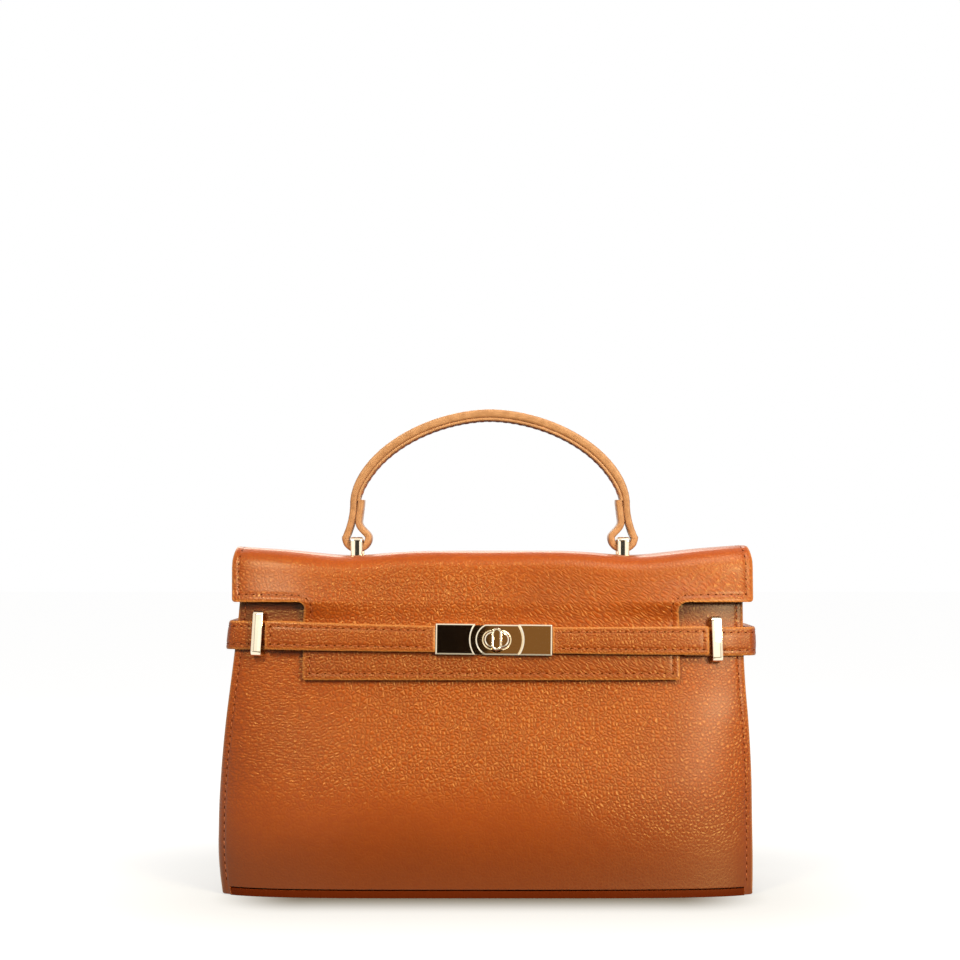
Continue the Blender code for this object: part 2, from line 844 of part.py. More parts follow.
def build_staple(side, layers, looks, bag, cutters, hinge):
    """The metal staple that holds one end of the handle, and its plate inside the flap."""
    word = "left" if side < 0 else "right"
    floor = flap_top_height(side * eye_x) - flap_lift - staple_plate_thickness
    middle = Matrix.Translation((side * eye_x, 0, 0))
    crosswise = middle @ Matrix.Rotation(math.pi / 2, 4, "Z")
    half = handle_width / 2 + staple_side_clearance + staple_metal
    path = staple_path(half, floor, staple_top_height, 0, staple_corner_radius)
    made = band(
        f"handle_staple_{word}", path, staple_width, staple_metal, crosswise, looks["gold"], bag
    )
    plate = prism(
        f"staple_plate_{word}", rectangle(
            -staple_plate_width / 2, staple_plate_width / 2, staple_plate_length / 2
        ), floor, floor + staple_plate_thickness, middle, looks["gold"], bag,
    )
    for end, name in ((-1, "front"), (1, "back")):
        place = middle @ Matrix.Translation((0, end * (half - staple_metal / 2), 0))
        hole = rectangle(
            -staple_width / 2 - gap, staple_width / 2 + gap, staple_metal / 2 + gap
        )
        leg = cutter(
            f"cut_{word}_staple_{name}", hole, floor - gap, staple_top_height, place, cutters
        )
        for layer in (*layers, plate):
            boolean(layer, leg, "DIFFERENCE")
    ride([made, plate], hinge)


def arch_point(angle):
    """A point of the handle's arch, from 0 at the right spring to pi at the left."""
    power = 2 / handle_power
    across = math.copysign(abs(math.cos(angle)) ** power, math.cos(angle))
    rise = abs(math.sin(angle)) ** power * (handle_top_height - handle_spring_height)
    return across * handle_half_span, handle_spring_height + rise


def inner_path(path, depth):
    """The points of a path moved inwards, without its first and last."""
    moved = []
    for before, spot, after in zip(path, path[1:], path[2:]):
        run = (Vector(after) - Vector(before)).normalized()
        moved.append((spot[0] + run.y * depth, spot[1] - run.x * depth))
    return moved


def eye_route(side):
    """The strap's outer line below the arch: down, under the bar and back up."""
    outer = eye_radius + handle_thickness
    stack = 2 * handle_thickness + gap + gap / 2
    span = handle_half_span
    splay = eye_x + outer - span
    drop = handle_spring_height - eye_height
    points = []
    for share in between(0, 1, arc_steps)[1:-1]:
        points.append((span + splay * share**2, handle_spring_height - drop * share))
    points += arc((eye_x, eye_height), outer, 0, -180, 3 * arc_steps)
    throat_share = (handle_spring_height - eye_throat_height) / drop
    throat_x = span + splay * throat_share**2 - stack
    inner_x = eye_x - outer
    rise = eye_throat_height - eye_height
    for share in between(0, 1, arc_steps)[1:]:
        bow = (1 - math.cos(share * math.pi)) / 2
        points.append((inner_x + (throat_x - inner_x) * bow, eye_height + rise * share))
    points.append((span - stack, handle_spring_height))
    points.append((span - stack, handle_fold_height))
    return [(side * x, z) for x, z in points]


def build_handle(looks, bag, hinge):
    """The handle's strap, folded round both staples, and the layer under its arch."""
    upright = Matrix.Identity(4)
    rise = handle_fold_height + 6 * gap - handle_spring_height
    first = math.asin((rise / (handle_top_height - handle_spring_height)) ** (handle_power / 2))
    turns = [math.pi] + between(math.pi - first, first, 4 * arc_steps) + [0]
    arch = [arch_point(turn) for turn in turns]
    strap = band(
        "handle_strap", eye_route(left)[::-1] + arch + eye_route(right), handle_width,
        handle_thickness, upright, looks["leather"], bag,
    )
    under = band(
        "handle_under", inner_path(arch, handle_thickness + gap), handle_width,
        handle_under_thickness, upright, looks["leather"], bag,
    )
    ride([strap, under], hinge)


def build():
    clear_scene()
    bag = new_collection("leather_handbag")
    cutters = new_collection("cutters")
    cutters.hide_render = True
    looks = {
        "leather": cognac_leather(),
        "lining": lining_leather(),
        "board": stiffening_board(),
        "gold": gold_metal(),
    }
    walls = build_walls(looks, bag)
    build_base(looks, bag)
    build_pocket(looks, bag)
    for side, word in ((left, "left"), (right, "right")):
        build_side_strap(side, word, looks, bag)
        build_strap_loop(side, word, walls, looks, bag, cutters)
    build_lock(walls, looks, bag, cutters)

    flap_hinge = pivot(
        "flap_hinge", Vector((0, half_depth(hinge_height), hinge_height)), bag
    )
    handle_pivot = pivot(
        "handle_pivot", Vector((0, 0, handle_pivot_height)), bag, flap_hinge
    )
    layers = build_flap(looks, bag, cutters, flap_hinge)
    for side in (left, right):
        build_staple(side, layers, looks, bag, cutters, flap_hinge)
    build_handle(looks, bag, handle_pivot)

    for side, word in ((left, "left"), (right, "right")):
        outer = strap_end(side)
        origin = on_face(front, outer, strap_middle(outer), strap_hinge_lift)
        hinge = pivot(f"strap_hinge_{word}", origin, bag)
        build_strap(side, looks, bag, cutters, hinge)
    lock_axis = on_face(front, lock_x, strap_middle(lock_x), post_top)
    build_toggle(looks, bag, pivot("toggle_pivot", lock_axis, bag))


build()
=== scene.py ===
import math

import bmesh
import bpy
import numpy as np
from mathutils import Matrix, Vector, noise


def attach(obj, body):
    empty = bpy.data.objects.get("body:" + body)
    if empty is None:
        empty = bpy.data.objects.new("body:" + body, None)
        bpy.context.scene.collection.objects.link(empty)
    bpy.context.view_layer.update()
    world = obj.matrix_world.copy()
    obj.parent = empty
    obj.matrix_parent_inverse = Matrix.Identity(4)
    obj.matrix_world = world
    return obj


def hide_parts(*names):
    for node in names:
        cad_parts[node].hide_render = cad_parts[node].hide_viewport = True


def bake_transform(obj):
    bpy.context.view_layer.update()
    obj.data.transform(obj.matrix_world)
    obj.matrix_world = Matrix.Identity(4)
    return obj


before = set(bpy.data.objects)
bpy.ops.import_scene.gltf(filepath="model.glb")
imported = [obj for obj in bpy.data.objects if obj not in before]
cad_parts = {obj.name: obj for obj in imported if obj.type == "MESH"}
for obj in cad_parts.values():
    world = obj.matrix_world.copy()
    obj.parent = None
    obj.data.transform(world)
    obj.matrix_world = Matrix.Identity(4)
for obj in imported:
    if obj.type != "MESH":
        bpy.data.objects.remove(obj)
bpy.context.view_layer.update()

mm = 0.001
front, back = -1, 1
left, right = -1, 1
probeStep = 0.4 * mm
print("frame loaded:", len(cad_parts), "nodes")


# Colours and nodes

mathNode, rangeNode, mixNode = "ShaderNodeMath", "ShaderNodeMapRange", "ShaderNodeMix"
noiseNode, cellNode, vectorNode = "ShaderNodeTexNoise", "ShaderNodeTexVoronoi", "ShaderNodeVectorMath"
coordNode, partsNode, pathNode = "ShaderNodeTexCoord", "ShaderNodeSeparateXYZ", "ShaderNodeLightPath"
eased = {"interpolation_type": "SMOOTHSTEP"}
colours = {"output": 2, "data_type": "RGBA"}


def toLinear(hexColour):
    # sRGB hex to the linear colour that shaders take
    parts = [int(hexColour[i:i + 2], 16) / 255 for i in (1, 3, 5)]
    return tuple(c / 12.92 if c <= 0.04045 else ((c + 0.055) / 1.055) ** 2.4 for c in parts) + (1,)


def fillInputs(tree, node, inputs):
    # another node's output is linked, a hex colour is made linear, any other value is set
    for name, value in inputs.items():
        if isinstance(value, bpy.types.NodeSocket):
            tree.links.new(value, node.inputs[name])
        else:
            node.inputs[name].default_value = toLinear(value) if isinstance(value, str) else value


def addNode(tree, kind, inputs=None, output=0, **settings):
    # adds one node, sets or links its inputs, and gives back the output that is wanted
    node = tree.nodes.new(kind)
    for name, value in settings.items():
        setattr(node, name, value)
    fillInputs(tree, node, inputs or {})
    return node.outputs[output]


def newMaterial(name):
    made = bpy.data.materials.new(name)
    made.use_nodes = True
    tree = made.node_tree
    return made, tree, tree.nodes["Principled BSDF"]


# Leather: drum-dyed calf with a tumbled grain. Rounded pebbles with narrow valleys, drawn
# out into wrinkles where the hide is pulled, a little darker in the valleys and
# glossier on the crests. Its colour is painted darker towards the foot and under the flap and
# straps: painted shade. Its rims are lighter: wear and a painted highlight. Its stitched
# grooves carry painted shade.
leatherLook = {
    "face": "#a04202", "valley": "#7c3002", "crest": "#b25606", "paintedShadeTone": "#622402", "rimWearAndHighlight": "#c68040",
    "cellWidth": 2.0 * mm, "wrinkleLong": 4.6 * mm, "wrinkleShort": 1.7 * mm, "wrinkleTurn": 36,
    "driftWidth": 4.0 * mm, "driftReach": 0.9 * mm, "poreWidth": 0.35 * mm, "dentWidth": 7.0 * mm,
    "grainDepth": 0.3 * mm, "poreDepth": 0.03 * mm, "dentDepth": 0.3 * mm, "blotchWidth": 42 * mm,
    "paintedShadeTop": 68 * mm, "rimWearAndHighlightWidth": 1.6 * mm,
    "roughCrest": 0.28, "roughValley": 0.45, "specular": 0.44, "gloss": "#ffe6a0",
    "coat": 0.3, "coatRough": 0.3,
}


def leatherMaterial(name, look):
    made, tree, shader = newMaterial(name)
    pattern = addNode(tree, "ShaderNodeUVMap", uv_map="pattern")
    relief, rim, seam, paintedShade = (addNode(tree, "ShaderNodeAttribute", output="Fac", attribute_name=word)
                                for word in ("relief", "rim", "seam", "paintedShade"))
    pores, dents, blotch = (
        addNode(tree, noiseNode, {"Vector": pattern, "Scale": 1 / look[word], "Detail": detail})
        for word, detail in (("poreWidth", 2.0), ("dentWidth", 1.0), ("blotchWidth", 3.0)))
    drift = addNode(tree, noiseNode, {"Vector": pattern, "Scale": 1 / look["driftWidth"], "Detail": 1.0},
                    "Color")
    centred = addNode(tree, vectorNode, {0: drift, 1: (0.5, 0.5, 0.5)}, operation="SUBTRACT")
    shift = addNode(tree, vectorNode, {0: centred, "Scale": look["driftReach"] * 2}, operation="SCALE")
    warped = addNode(tree, vectorNode, {0: pattern, 1: shift}, operation="ADD")

    # three nets of cells: even pebbles, level wrinkles, and wrinkles that slant
    cell, length, width = look["cellWidth"], look["wrinkleLong"], look["wrinkleShort"]
    grain = None
    for weight, turn, size in (("", 0, (cell, cell, 1)), ("across", 0, (length, width, 1)),
                               ("slanted", math.radians(look["wrinkleTurn"]), (length, width, 1))):
        drawn = addNode(tree, "ShaderNodeMapping", {
            "Vector": warped, "Rotation": (0, 0, turn), "Scale": size}, vector_type="TEXTURE")
        edges = addNode(tree, cellNode, {"Vector": drawn, "Scale": 1.0}, "Distance", voronoi_dimensions="2D",
                        feature="DISTANCE_TO_EDGE")
        pebbles = addNode(tree, rangeNode, {0: edges, 1: -0.1, 2: 0.5}, **eased)
        if grain is None:
            grain = pebbles
            continue
        share = addNode(tree, "ShaderNodeAttribute", output="Fac", attribute_name=weight)
        grain = addNode(tree, mixNode, {0: share, 2: grain, 3: pebbles})
    own = addNode(tree, cellNode, {"Vector": warped, "Scale": 1 / cell}, "Color", voronoi_dimensions="2D")
    tint = addNode(tree, "ShaderNodeSeparateColor", {0: own})

    # colour: valleys only as deep as the relief, then cells, blotches, painted shade, seam and rim
    depth = addNode(tree, mathNode, {0: 1.0, 1: grain}, operation="SUBTRACT")
    sunk = addNode(tree, mathNode, {0: depth, 1: relief}, operation="MULTIPLY")
    raised = addNode(tree, mathNode, {0: tint, 1: 0.3}, operation="MULTIPLY")
    patches = addNode(tree, rangeNode, {0: blotch, 1: 0.42, 2: 0.75, 3: 0.0, 4: 0.3}, **eased)
    height = addNode(tree, partsNode, {0: addNode(tree, coordNode, output="Object")}, 2)
    # painted shade: darker towards the foot, where the lower panel falls into shade
    foot = addNode(tree, rangeNode, {0: height, 1: 0.0, 2: look["paintedShadeTop"], 3: 0.85, 4: 0.0}, **eased)
    # painted shade where the flap's ears and the straps shade the leather, in the same dark tone as the foot
    foot = addNode(tree, mathNode, {0: foot, 1: paintedShade}, operation="MAXIMUM")
    # painted shade in the groove that the row of stitches presses in
    sewn = addNode(tree, mathNode, {0: seam, 1: 0.35}, operation="MULTIPLY")
    # lighter along the cut rims: wear, and a painted highlight where the rounded rim catches light
    rimWearAndHighlight = addNode(tree, rangeNode, {0: rim, 1: 0.0, 2: look["rimWearAndHighlightWidth"], 3: 0.7, 4: 0.0}, **eased)
    colour = look["face"]
    for share, tone in ((sunk, "valley"), (raised, "crest"), (patches, "valley"), (foot, "paintedShadeTone"),
                        (sewn, "valley"), (rimWearAndHighlight, "rimWearAndHighlight")):
        colour = addNode(tree, mixNode, {0: share, 6: colour, 7: look[tone]}, **colours)

    uneven = addNode(tree, rangeNode, {0: tint, 3: 0.65, 4: 1.0})
    high = addNode(tree, mathNode, {0: grain, 1: uneven}, operation="MULTIPLY")
    bump = addNode(tree, "ShaderNodeBump", {"Strength": 0.5, "Distance": look["dentDepth"], "Height": dents})
    for strength, reach, form in ((relief, "grainDepth", high), (0.4, "poreDepth", pores)):
        bump = addNode(tree, "ShaderNodeBump", {"Strength": strength, "Distance": look[reach], "Height": form,
                                                "Normal": bump})
    rough = addNode(tree, rangeNode, {0: grain, 3: look["roughValley"], 4: look["roughCrest"]})
    fillInputs(tree, shader, {
        "Base Color": colour, "Roughness": rough, "Normal": bump,
        "Specular IOR Level": look["specular"], "Specular Tint": look["gloss"],
        "Coat Weight": look["coat"], "Coat Roughness": look["coatRough"],
    })
    return made


# Painted edge: layers of resin paint rubbed on a cut edge, smooth with faint waves.
def paintedEdge(name, colour, dark):
    made, tree, shader = newMaterial(name)
    spot = addNode(tree, coordNode, output="Object")
    wave = addNode(tree, noiseNode, {"Vector": spot, "Scale": 1 / (3 * mm), "Detail": 2.0})
    share = addNode(tree, rangeNode, {0: wave, 1: 0.35, 2: 0.75}, **eased)
    tone = addNode(tree, mixNode, {0: share, 6: colour, 7: dark}, **colours)
    bump = addNode(tree, "ShaderNodeBump", {"Strength": 0.5, "Distance": 0.08 * mm, "Height": wave})
    fillInputs(tree, shader, {"Base Color": tone, "Roughness": 0.45, "Normal": bump})
    return made


# Split suede: the napped flesh side, matt with fine streaks of fibre.
def splitSuede(name, colour, dark):
    made, tree, shader = newMaterial(name)
    pattern = addNode(tree, "ShaderNodeUVMap", uv_map="pattern")
    nap = addNode(tree, noiseNode, {"Vector": pattern, "Scale": 1 / (0.5 * mm), "Detail": 3.0})
    cloud = addNode(tree, noiseNode, {"Vector": pattern, "Scale": 1 / (22 * mm), "Detail": 3.0})
    clouded = addNode(tree, rangeNode, {0: cloud, 1: 0.35, 2: 0.7, 4: 0.4}, **eased)
    fibres = addNode(tree, rangeNode, {0: nap, 1: 0.4, 2: 0.7, 3: 0.0, 4: 0.5}, **eased)
    tone = addNode(tree, mixNode, {0: clouded, 6: colour, 7: dark}, **colours)
    tone = addNode(tree, mixNode, {0: fibres, 6: tone, 7: dark}, **colours)
    bump = addNode(tree, "ShaderNodeBump", {"Strength": 0.6, "Distance": 0.06 * mm, "Height": nap})
    fillInputs(tree, shader, {"Base Color": tone, "Roughness": 0.88, "Sheen Weight": 0.35,
                              "Sheen Roughness": 0.5, "Normal": bump})
    return made


# Waxed thread, bonded nylon: a fine diagonal twist, slightly darker than the leather. It also paints the
# needle holes' shade.
def waxedThread(name, colour, dark, rough, specular):
    made, tree, shader = newMaterial(name)
    spot = addNode(tree, coordNode, output="Object")
    twist = addNode(tree, "ShaderNodeTexWave", {"Vector": spot, "Scale": 1 / (2.2 * mm), "Distortion": 1.5},
                    "Fac", wave_type="BANDS", bands_direction="DIAGONAL")
    tone = addNode(tree, mixNode, {0: twist, 6: dark, 7: colour}, **colours)
    fillInputs(tree, shader, {"Base Color": tone, "Roughness": rough, "Specular IOR Level": specular})
    return made


# Gold-plated zinc: cast, polished and flash plated, so nearly a mirror with hairlines.
def goldPlated(name, colour, deep, rough):
    made, tree, shader = newMaterial(name)
    spot = addNode(tree, coordNode, output="Object")
    drawn = addNode(tree, "ShaderNodeMapping", {"Vector": spot, "Scale": (1.0, 6.0, 6.0)})
    hair = addNode(tree, noiseNode, {"Vector": drawn, "Scale": 1 / (2.5 * mm), "Detail": 4.0})
    dull = addNode(tree, rangeNode, {0: hair, 1: 0.3, 2: 0.75, 3: rough * 0.6, 4: rough * 1.5})
    share = addNode(tree, rangeNode, {0: hair, 1: 0.45, 2: 0.8, 3: 0.0, 4: 0.2}, **eased)
    tone = addNode(tree, mixNode, {0: share, 6: colour, 7: deep}, **colours)
    bump = addNode(tree, "ShaderNodeBump", {"Strength": 0.1, "Distance": 0.004 * mm, "Height": hair})
    fillInputs(tree, shader, {"Base Color": tone, "Roughness": dull, "Metallic": 1.0, "Normal": bump})
    return made


grainedCalfLeather = leatherMaterial("grainedCalfLeather", leatherLook)
# the straps' leather, a darker copy of the body's: painted shade on the straps
strapLeatherPaintedShade = leatherMaterial("strapLeatherPaintedShade", dict(
    leatherLook, face="#943e02", crest="#a64e06", cellWidth=1.9 * mm, grainDepth=0.24 * mm,
    dentDepth=0.1 * mm))
handleLeather = leatherMaterial("handleLeather", dict(
    leatherLook, face="#c09074", crest="#ca9c84", valley="#a87c60", cellWidth=1.5 * mm,
    grainDepth=0.08 * mm, dentDepth=0.1 * mm))
soleLeather = leatherMaterial("soleLeather", dict(
    leatherLook, face="#581803", rimWearAndHighlight="#581803", crest="#5e1c04", coat=0.0, specular=0.15, roughCrest=0.6,
    grainDepth=0.06 * mm))
edgePaint = paintedEdge("edgePaint", "#b06026", "#984a1a")
handleEdgePaint = paintedEdge("handleEdgePaint", "#b88862", "#a4744e")
suedeLining = splitSuede("suedeLining", "#9c5a30", "#7c4422")
sewingThread = waxedThread("sewingThread", "#b05c22", "#8f4212", 0.5, 0.5)
# dark discs for the needle holes: painted shade in the holes
needleHoleShade = waxedThread("needleHoleShade", "#662a0a", "#4a1a04", 0.95, 0.05)
goldPlatedZinc = goldPlated("goldPlatedZinc", "#faefd8", "#e6cc98", 0.05)
leatherSet = [grainedCalfLeather, edgePaint, suedeLining]
strapSet = [strapLeatherPaintedShade, edgePaint, suedeLining]
suedeSet = [suedeLining, edgePaint, suedeLining]
print("materials made")


# The bag's form, as the solids have it

bodyShape = {
    "wallHeight": 165.0 * mm, "frontWallHeight": 161.0 * mm, "gussetHeight": 159.0 * mm,
    "baseHalfDepth": 53.0 * mm, "topHalfDepth": 27.0 * mm, "tuckHeight": 28.0 * mm,
    left: {"low": 137.6 * mm, "top": 126.8 * mm, "foot": 38.0 * mm, "head": 168.0 * mm, "tuck": 3.2 * mm},
    right: {"low": 132.5 * mm, "top": 128.9 * mm, "foot": 50.0 * mm, "head": 130.0 * mm, "tuck": 0.8 * mm},
    "roundingHalf": 142.8 * mm, "roundingPower": 4.5,
    "strapHeight": 127.0 * mm, "strapSlope": 0.012, "strapEndLift": 1.2 * mm, "gap": 0.3 * mm,
}
flapShape = {
    "lift": 3.0 * mm, "thickness": 1.6 * mm, "half": 131.9 * mm, "shift": 1.2 * mm,
    "topMiddle": 172.3 * mm, "endRise": 2.6 * mm, "risePower": 4, "dip": 2.6 * mm, "dipX": 74.0 * mm,
    "dipSpread": 17.0 * mm, "eyeX": 68.9 * mm, "backRadius": 8.0 * mm, "frontRadius": 10.0 * mm,
    "frontDrop": 11.0 * mm, "earHeight": 145.8 * mm, "tongueHeight": 107.1 * mm, "tongueLeft": -94.3 * mm,
    "tongueRight": 95.5 * mm, "hingeHeight": 165.9 * mm, "foot": 4.3 * mm,
}
bodyLean = (bodyShape["baseHalfDepth"] - bodyShape["topHalfDepth"]) / bodyShape["wallHeight"]
flapLeft, flapRight = flapShape["shift"] - flapShape["half"], flapShape["shift"] + flapShape["half"]


def smoothStep(value):
    share = min(max(value, 0), 1)
    return share * share * (3 - 2 * share)


def halfDepth(height):
    return bodyShape["baseHalfDepth"] - bodyLean * height


def halfWidth(side, height):
    # widest low down, tapered towards the top and drawn in at the foot
    shape = bodyShape[side]
    taper = smoothStep((height - shape["foot"]) / (shape["head"] - shape["foot"]))
    drawnIn = shape["tuck"] * max(1 - height / bodyShape["tuckHeight"], 0) ** 2
    return shape["low"] + (shape["top"] - shape["low"]) * taper - drawnIn


def fullness(x):
    share = min(abs(x) / bodyShape["roundingHalf"], 0.999)
    power = bodyShape["roundingPower"]
    return (1 - share ** power) ** (1 / power)


def facePoint(facing, x, height):
    return Vector((x, facing * halfDepth(height) * fullness(x), height))


def faceAxes(facing, x, height):
    across = facePoint(facing, x + probeStep, height) - facePoint(facing, x - probeStep, height)
    rising = facePoint(facing, x, height + probeStep) - facePoint(facing, x, height - probeStep)
    out = facing * rising.cross(across).normalized()
    up = (rising - out * rising.dot(out)).normalized()
    return up.cross(out), up, out


def onFace(facing, x, height, lift):
    return facePoint(facing, x, height) + lift * faceAxes(facing, x, height)[2]


def frameAt(origin, along, out):
    zAxis = out.normalized()
    yAxis = zAxis.cross(along).normalized()
    xAxis = yAxis.cross(zAxis)
    return Matrix.Translation(origin) @ Matrix((xAxis, yAxis, zAxis)).transposed().to_4x4()


def strapMiddle(x):
    # the strap's middle line sags a little between the bag's sides
    lift = bodyShape["strapEndLift"] * (x / flapShape["half"]) ** 2
    return bodyShape["strapHeight"] - bodyShape["strapSlope"] * x + lift


def strapFrame(x):
    ahead = facePoint(front, x + probeStep, strapMiddle(x + probeStep))
    behind = facePoint(front, x - probeStep, strapMiddle(x - probeStep))
    return frameAt(facePoint(front, x, strapMiddle(x)), ahead - behind, faceAxes(front, x, strapMiddle(x))[2])


def flapTopHeight(x):
    # it rises towards its ends and dips under the handle
    rise = flapShape["endRise"] * (abs(x) / flapShape["half"]) ** flapShape["risePower"]
    near = [((x - side * flapShape["dipX"]) / flapShape["dipSpread"]) ** 2 for side in (left, right)]
    return flapShape["topMiddle"] + rise - flapShape["dip"] * sum(math.exp(-n / 2) for n in near)


def onFlap(x, station, lift):
    # stations: 0 to 1 the back fold, to 2 the top, to 3 the front fold, to 4 the front
    top = flapTopHeight(x)
    backRadius, frontRadius = flapShape["backRadius"], flapShape["frontRadius"]
    hinge, drop = flapShape["hingeHeight"], flapShape["frontDrop"]
    backY = halfDepth(hinge) * fullness(x)
    foldHeight = top - drop
    frontY = -halfDepth(foldHeight) * fullness(x) - flapShape["lift"]
    if station <= 1:
        angle = station * math.pi / 2
        y = backY - backRadius + (backRadius + lift) * math.cos(angle)
        return Vector((x, y, hinge + (top - hinge + lift) * math.sin(angle)))
    if station <= 2:
        start, end = backY - backRadius, frontY + frontRadius
        return Vector((x, start + (end - start) * (station - 1), top + lift))
    if station <= 3:
        angle = (station - 2) * math.pi / 2
        y = frontY + frontRadius - (frontRadius + lift) * math.sin(angle)
        spot = Vector((x, y, foldHeight + (drop + lift) * math.cos(angle)))
        meet = onFace(front, x, foldHeight, flapShape["lift"] + lift) - Vector((x, frontY - lift, foldHeight))
        return spot + meet * smoothStep(station - 2)
    height = foldHeight + (flapShape["earHeight"] - foldHeight) * (station - 3)
    return onFace(front, x, height, flapShape["lift"] + lift)


def sway(x, height, width, seed):
    # slow unevenness of soft leather, between -1 and 1
    return noise.noise(Vector((x / width + seed, height / width, seed)))


# Cut patterns: a flat outline, rounded at its corners, sliced into a net and bent into place

# how far inside an edge the net is cut closely, for the skived border and the seam's groove
edgeCuts = [0.6 * mm, 1.3 * mm, 2.1 * mm, 2.8 * mm, 3.5 * mm, 4.2 * mm, 5.2 * mm]


def cutLines(low, high, pitch, edged=True):
    near = edgeCuts if edged else [0.0]
    inner = (high - low) - 2 * near[-1]
    count = max(2, round(inner / pitch))
    lines = [low + near[-1] + inner * i / count for i in range(count + 1)]
    if edged:
        lines += [low + n for n in near[:-1]] + [high - n for n in near[:-1]]
    return sorted(line for line in lines if low + 1e-6 < line < high - 1e-6)


def cutPattern(corners, columns, rows):
    pattern = bmesh.new()
    outline = [pattern.verts.new((u, v, 0)) for u, v, radius in corners]
    pattern.faces.new(outline)
    for wanted in sorted({radius for u, v, radius in corners if radius}):
        picked = [vert for vert, (u, v, radius) in zip(outline, corners) if radius == wanted]
        bmesh.ops.bevel(pattern, geom=picked, offset=wanted, offset_type="OFFSET", segments=6, profile=0.5,
                        affect="VERTICES", material=-1, clamp_overlap=True)
    border = [[tuple(vert.co.xy) for vert in edge.verts] for edge in pattern.edges]
    for axis, cuts in ((Vector((0, 1, 0)), sorted(set(rows))), (Vector((1, 0, 0)), sorted(set(columns)))):
        for cut in cuts:
            everything = pattern.verts[:] + pattern.edges[:] + pattern.faces[:]
            bmesh.ops.bisect_plane(pattern, geom=everything, dist=1e-6, plane_co=axis * cut, plane_no=axis)
    return pattern, border


def borderDistances(spots, border):
    starts = np.array([ends[0] for ends in border])[None]
    runs = np.array([ends[1] for ends in border])[None] - starts
    spots = np.array(spots)[:, None, :]
    share = np.clip(((spots - starts) * runs).sum(2) / (runs ** 2).sum(2), 0, 1)
    return np.linalg.norm(spots - starts - share[..., None] * runs, axis=2).min(axis=1).tolist()


borderForm = {"fall": 1.3 * mm, "fallDepth": 0.38 * mm, "groove": 0.75 * mm, "grooveDepth": 0.24 * mm,
              "seamGrooveShadeWidth": 0.9 * mm}


def edgeLift(distance, inset):
    # the border is skived and pressed, and the row of stitches pulls the leather in
    fall = max(0.0, 1 - distance / borderForm["fall"])
    groove = math.exp(-((distance - inset) / borderForm["groove"]) ** 2)
    return -borderForm["fallDepth"] * fall ** 2 - borderForm["grooveDepth"] * groove


def finishMesh(name, pattern, materials):
    data = bpy.data.meshes.new(name)
    pattern.to_mesh(data)
    pattern.free()
    for face in data.polygons:
        face.use_smooth = True
    for material in materials:
        data.materials.append(material)
    made = bpy.data.objects.new(name, data)
    bpy.context.scene.collection.objects.link(made)
    return made


def roundEdges(made, width, segments, degrees):
    rounding = made.modifiers.new("edges", "BEVEL")
    rounding.width = width
    rounding.segments = segments
    rounding.limit_method = "ANGLE"
    rounding.angle_limit = math.radians(degrees)
    return rounding


def settle(piece, slot, body, *nodes):
    # which solids the piece stands for, its material slot (not used), and the body that carries it;
    # the back and flap are attached to no body; their placement is baked in
    if nodes:
        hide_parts(*nodes)
    if body == "body and flap":
        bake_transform(piece)
    else:
        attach(piece, body)


def evenGrain(u, v):
    # how strong the grain is, how far it is drawn out into level and into slanted wrinkles,
    # and how much painted shade it takes where the flap or a strap shades it
    return 1.0, 0.0, 0.0, 0.0


def makeSheet(name, corners, columns, rows, place, thickness, materials, inset=3.5 * mm, uvOf=None,
              bevel=0.3 * mm, grainOf=evenGrain, seamed=None):
    # place(u, v, lift) bends the flat pattern; inset is where it is sewn, 0 for not at all
    pattern, border = cutPattern(corners, columns, rows)
    if seamed:
        border = [ends for ends in border if seamed(*ends)]
    pattern.verts.ensure_lookup_table()
    flat = [tuple(vert.co.xy) for vert in pattern.verts]
    distances = borderDistances(flat, border)
    uvLayer = pattern.loops.layers.uv.new("pattern")
    rimLayer, seamLayer, *grainLayers = (pattern.verts.layers.float.new(word) for word in
                                         ("rim", "seam", "relief", "across", "slanted", "paintedShade"))
    pattern.verts.index_update()
    for face in pattern.faces:
        for loop in face.loops:
            u, v = flat[loop.vert.index]
            loop[uvLayer].uv = uvOf(u, v) if uvOf else (u, v)
    wanted = Vector()
    probe = max(pattern.faces, key=lambda face: face.calc_area())
    for u, v in [flat[vert.index] for vert in probe.verts]:
        wanted += place(u, v, probeStep) - place(u, v, 0)
    for vert, (u, v), distance in zip(pattern.verts, flat, distances):
        vert.co = place(u, v, edgeLift(distance, inset) if inset else 0)
        vert[rimLayer] = distance
        # how much painted shade the stitched groove takes
        vert[seamLayer] = math.exp(-((distance - inset) / borderForm["seamGrooveShadeWidth"]) ** 2) if inset else 0
        for layer, amount in zip(grainLayers, grainOf(u, v)):
            vert[layer] = amount
    pattern.normal_update()
    if probe.normal.dot(wanted) < 0:
        bmesh.ops.reverse_faces(pattern, faces=pattern.faces[:])
    made = finishMesh(name, pattern, materials)
    shell = made.modifiers.new("thickness", "SOLIDIFY")
    shell.thickness = thickness
    shell.offset = -1
    shell.material_offset_rim = 1
    shell.material_offset = 2
    roundEdges(made, bevel, 2, 55)
    return made


# Stitches: fine capsules laid along a route, with a dark disc of painted shade for a needle hole between each
# two

stitchLook = {"pitch": 4.0 * mm, "length": 2.7 * mm, "width": 0.6 * mm, "height": 0.45 * mm, "slant": 0.16,
              "holeLength": 1.35 * mm, "holeWidth": 0.65 * mm, "holeLift": 0.08 * mm}


def runLengths(points):
    # how far along the route each point is
    runs = [0.0]
    for before, after in zip(points, points[1:]):
        runs.append(runs[-1] + math.dist(before, after))
    return runs


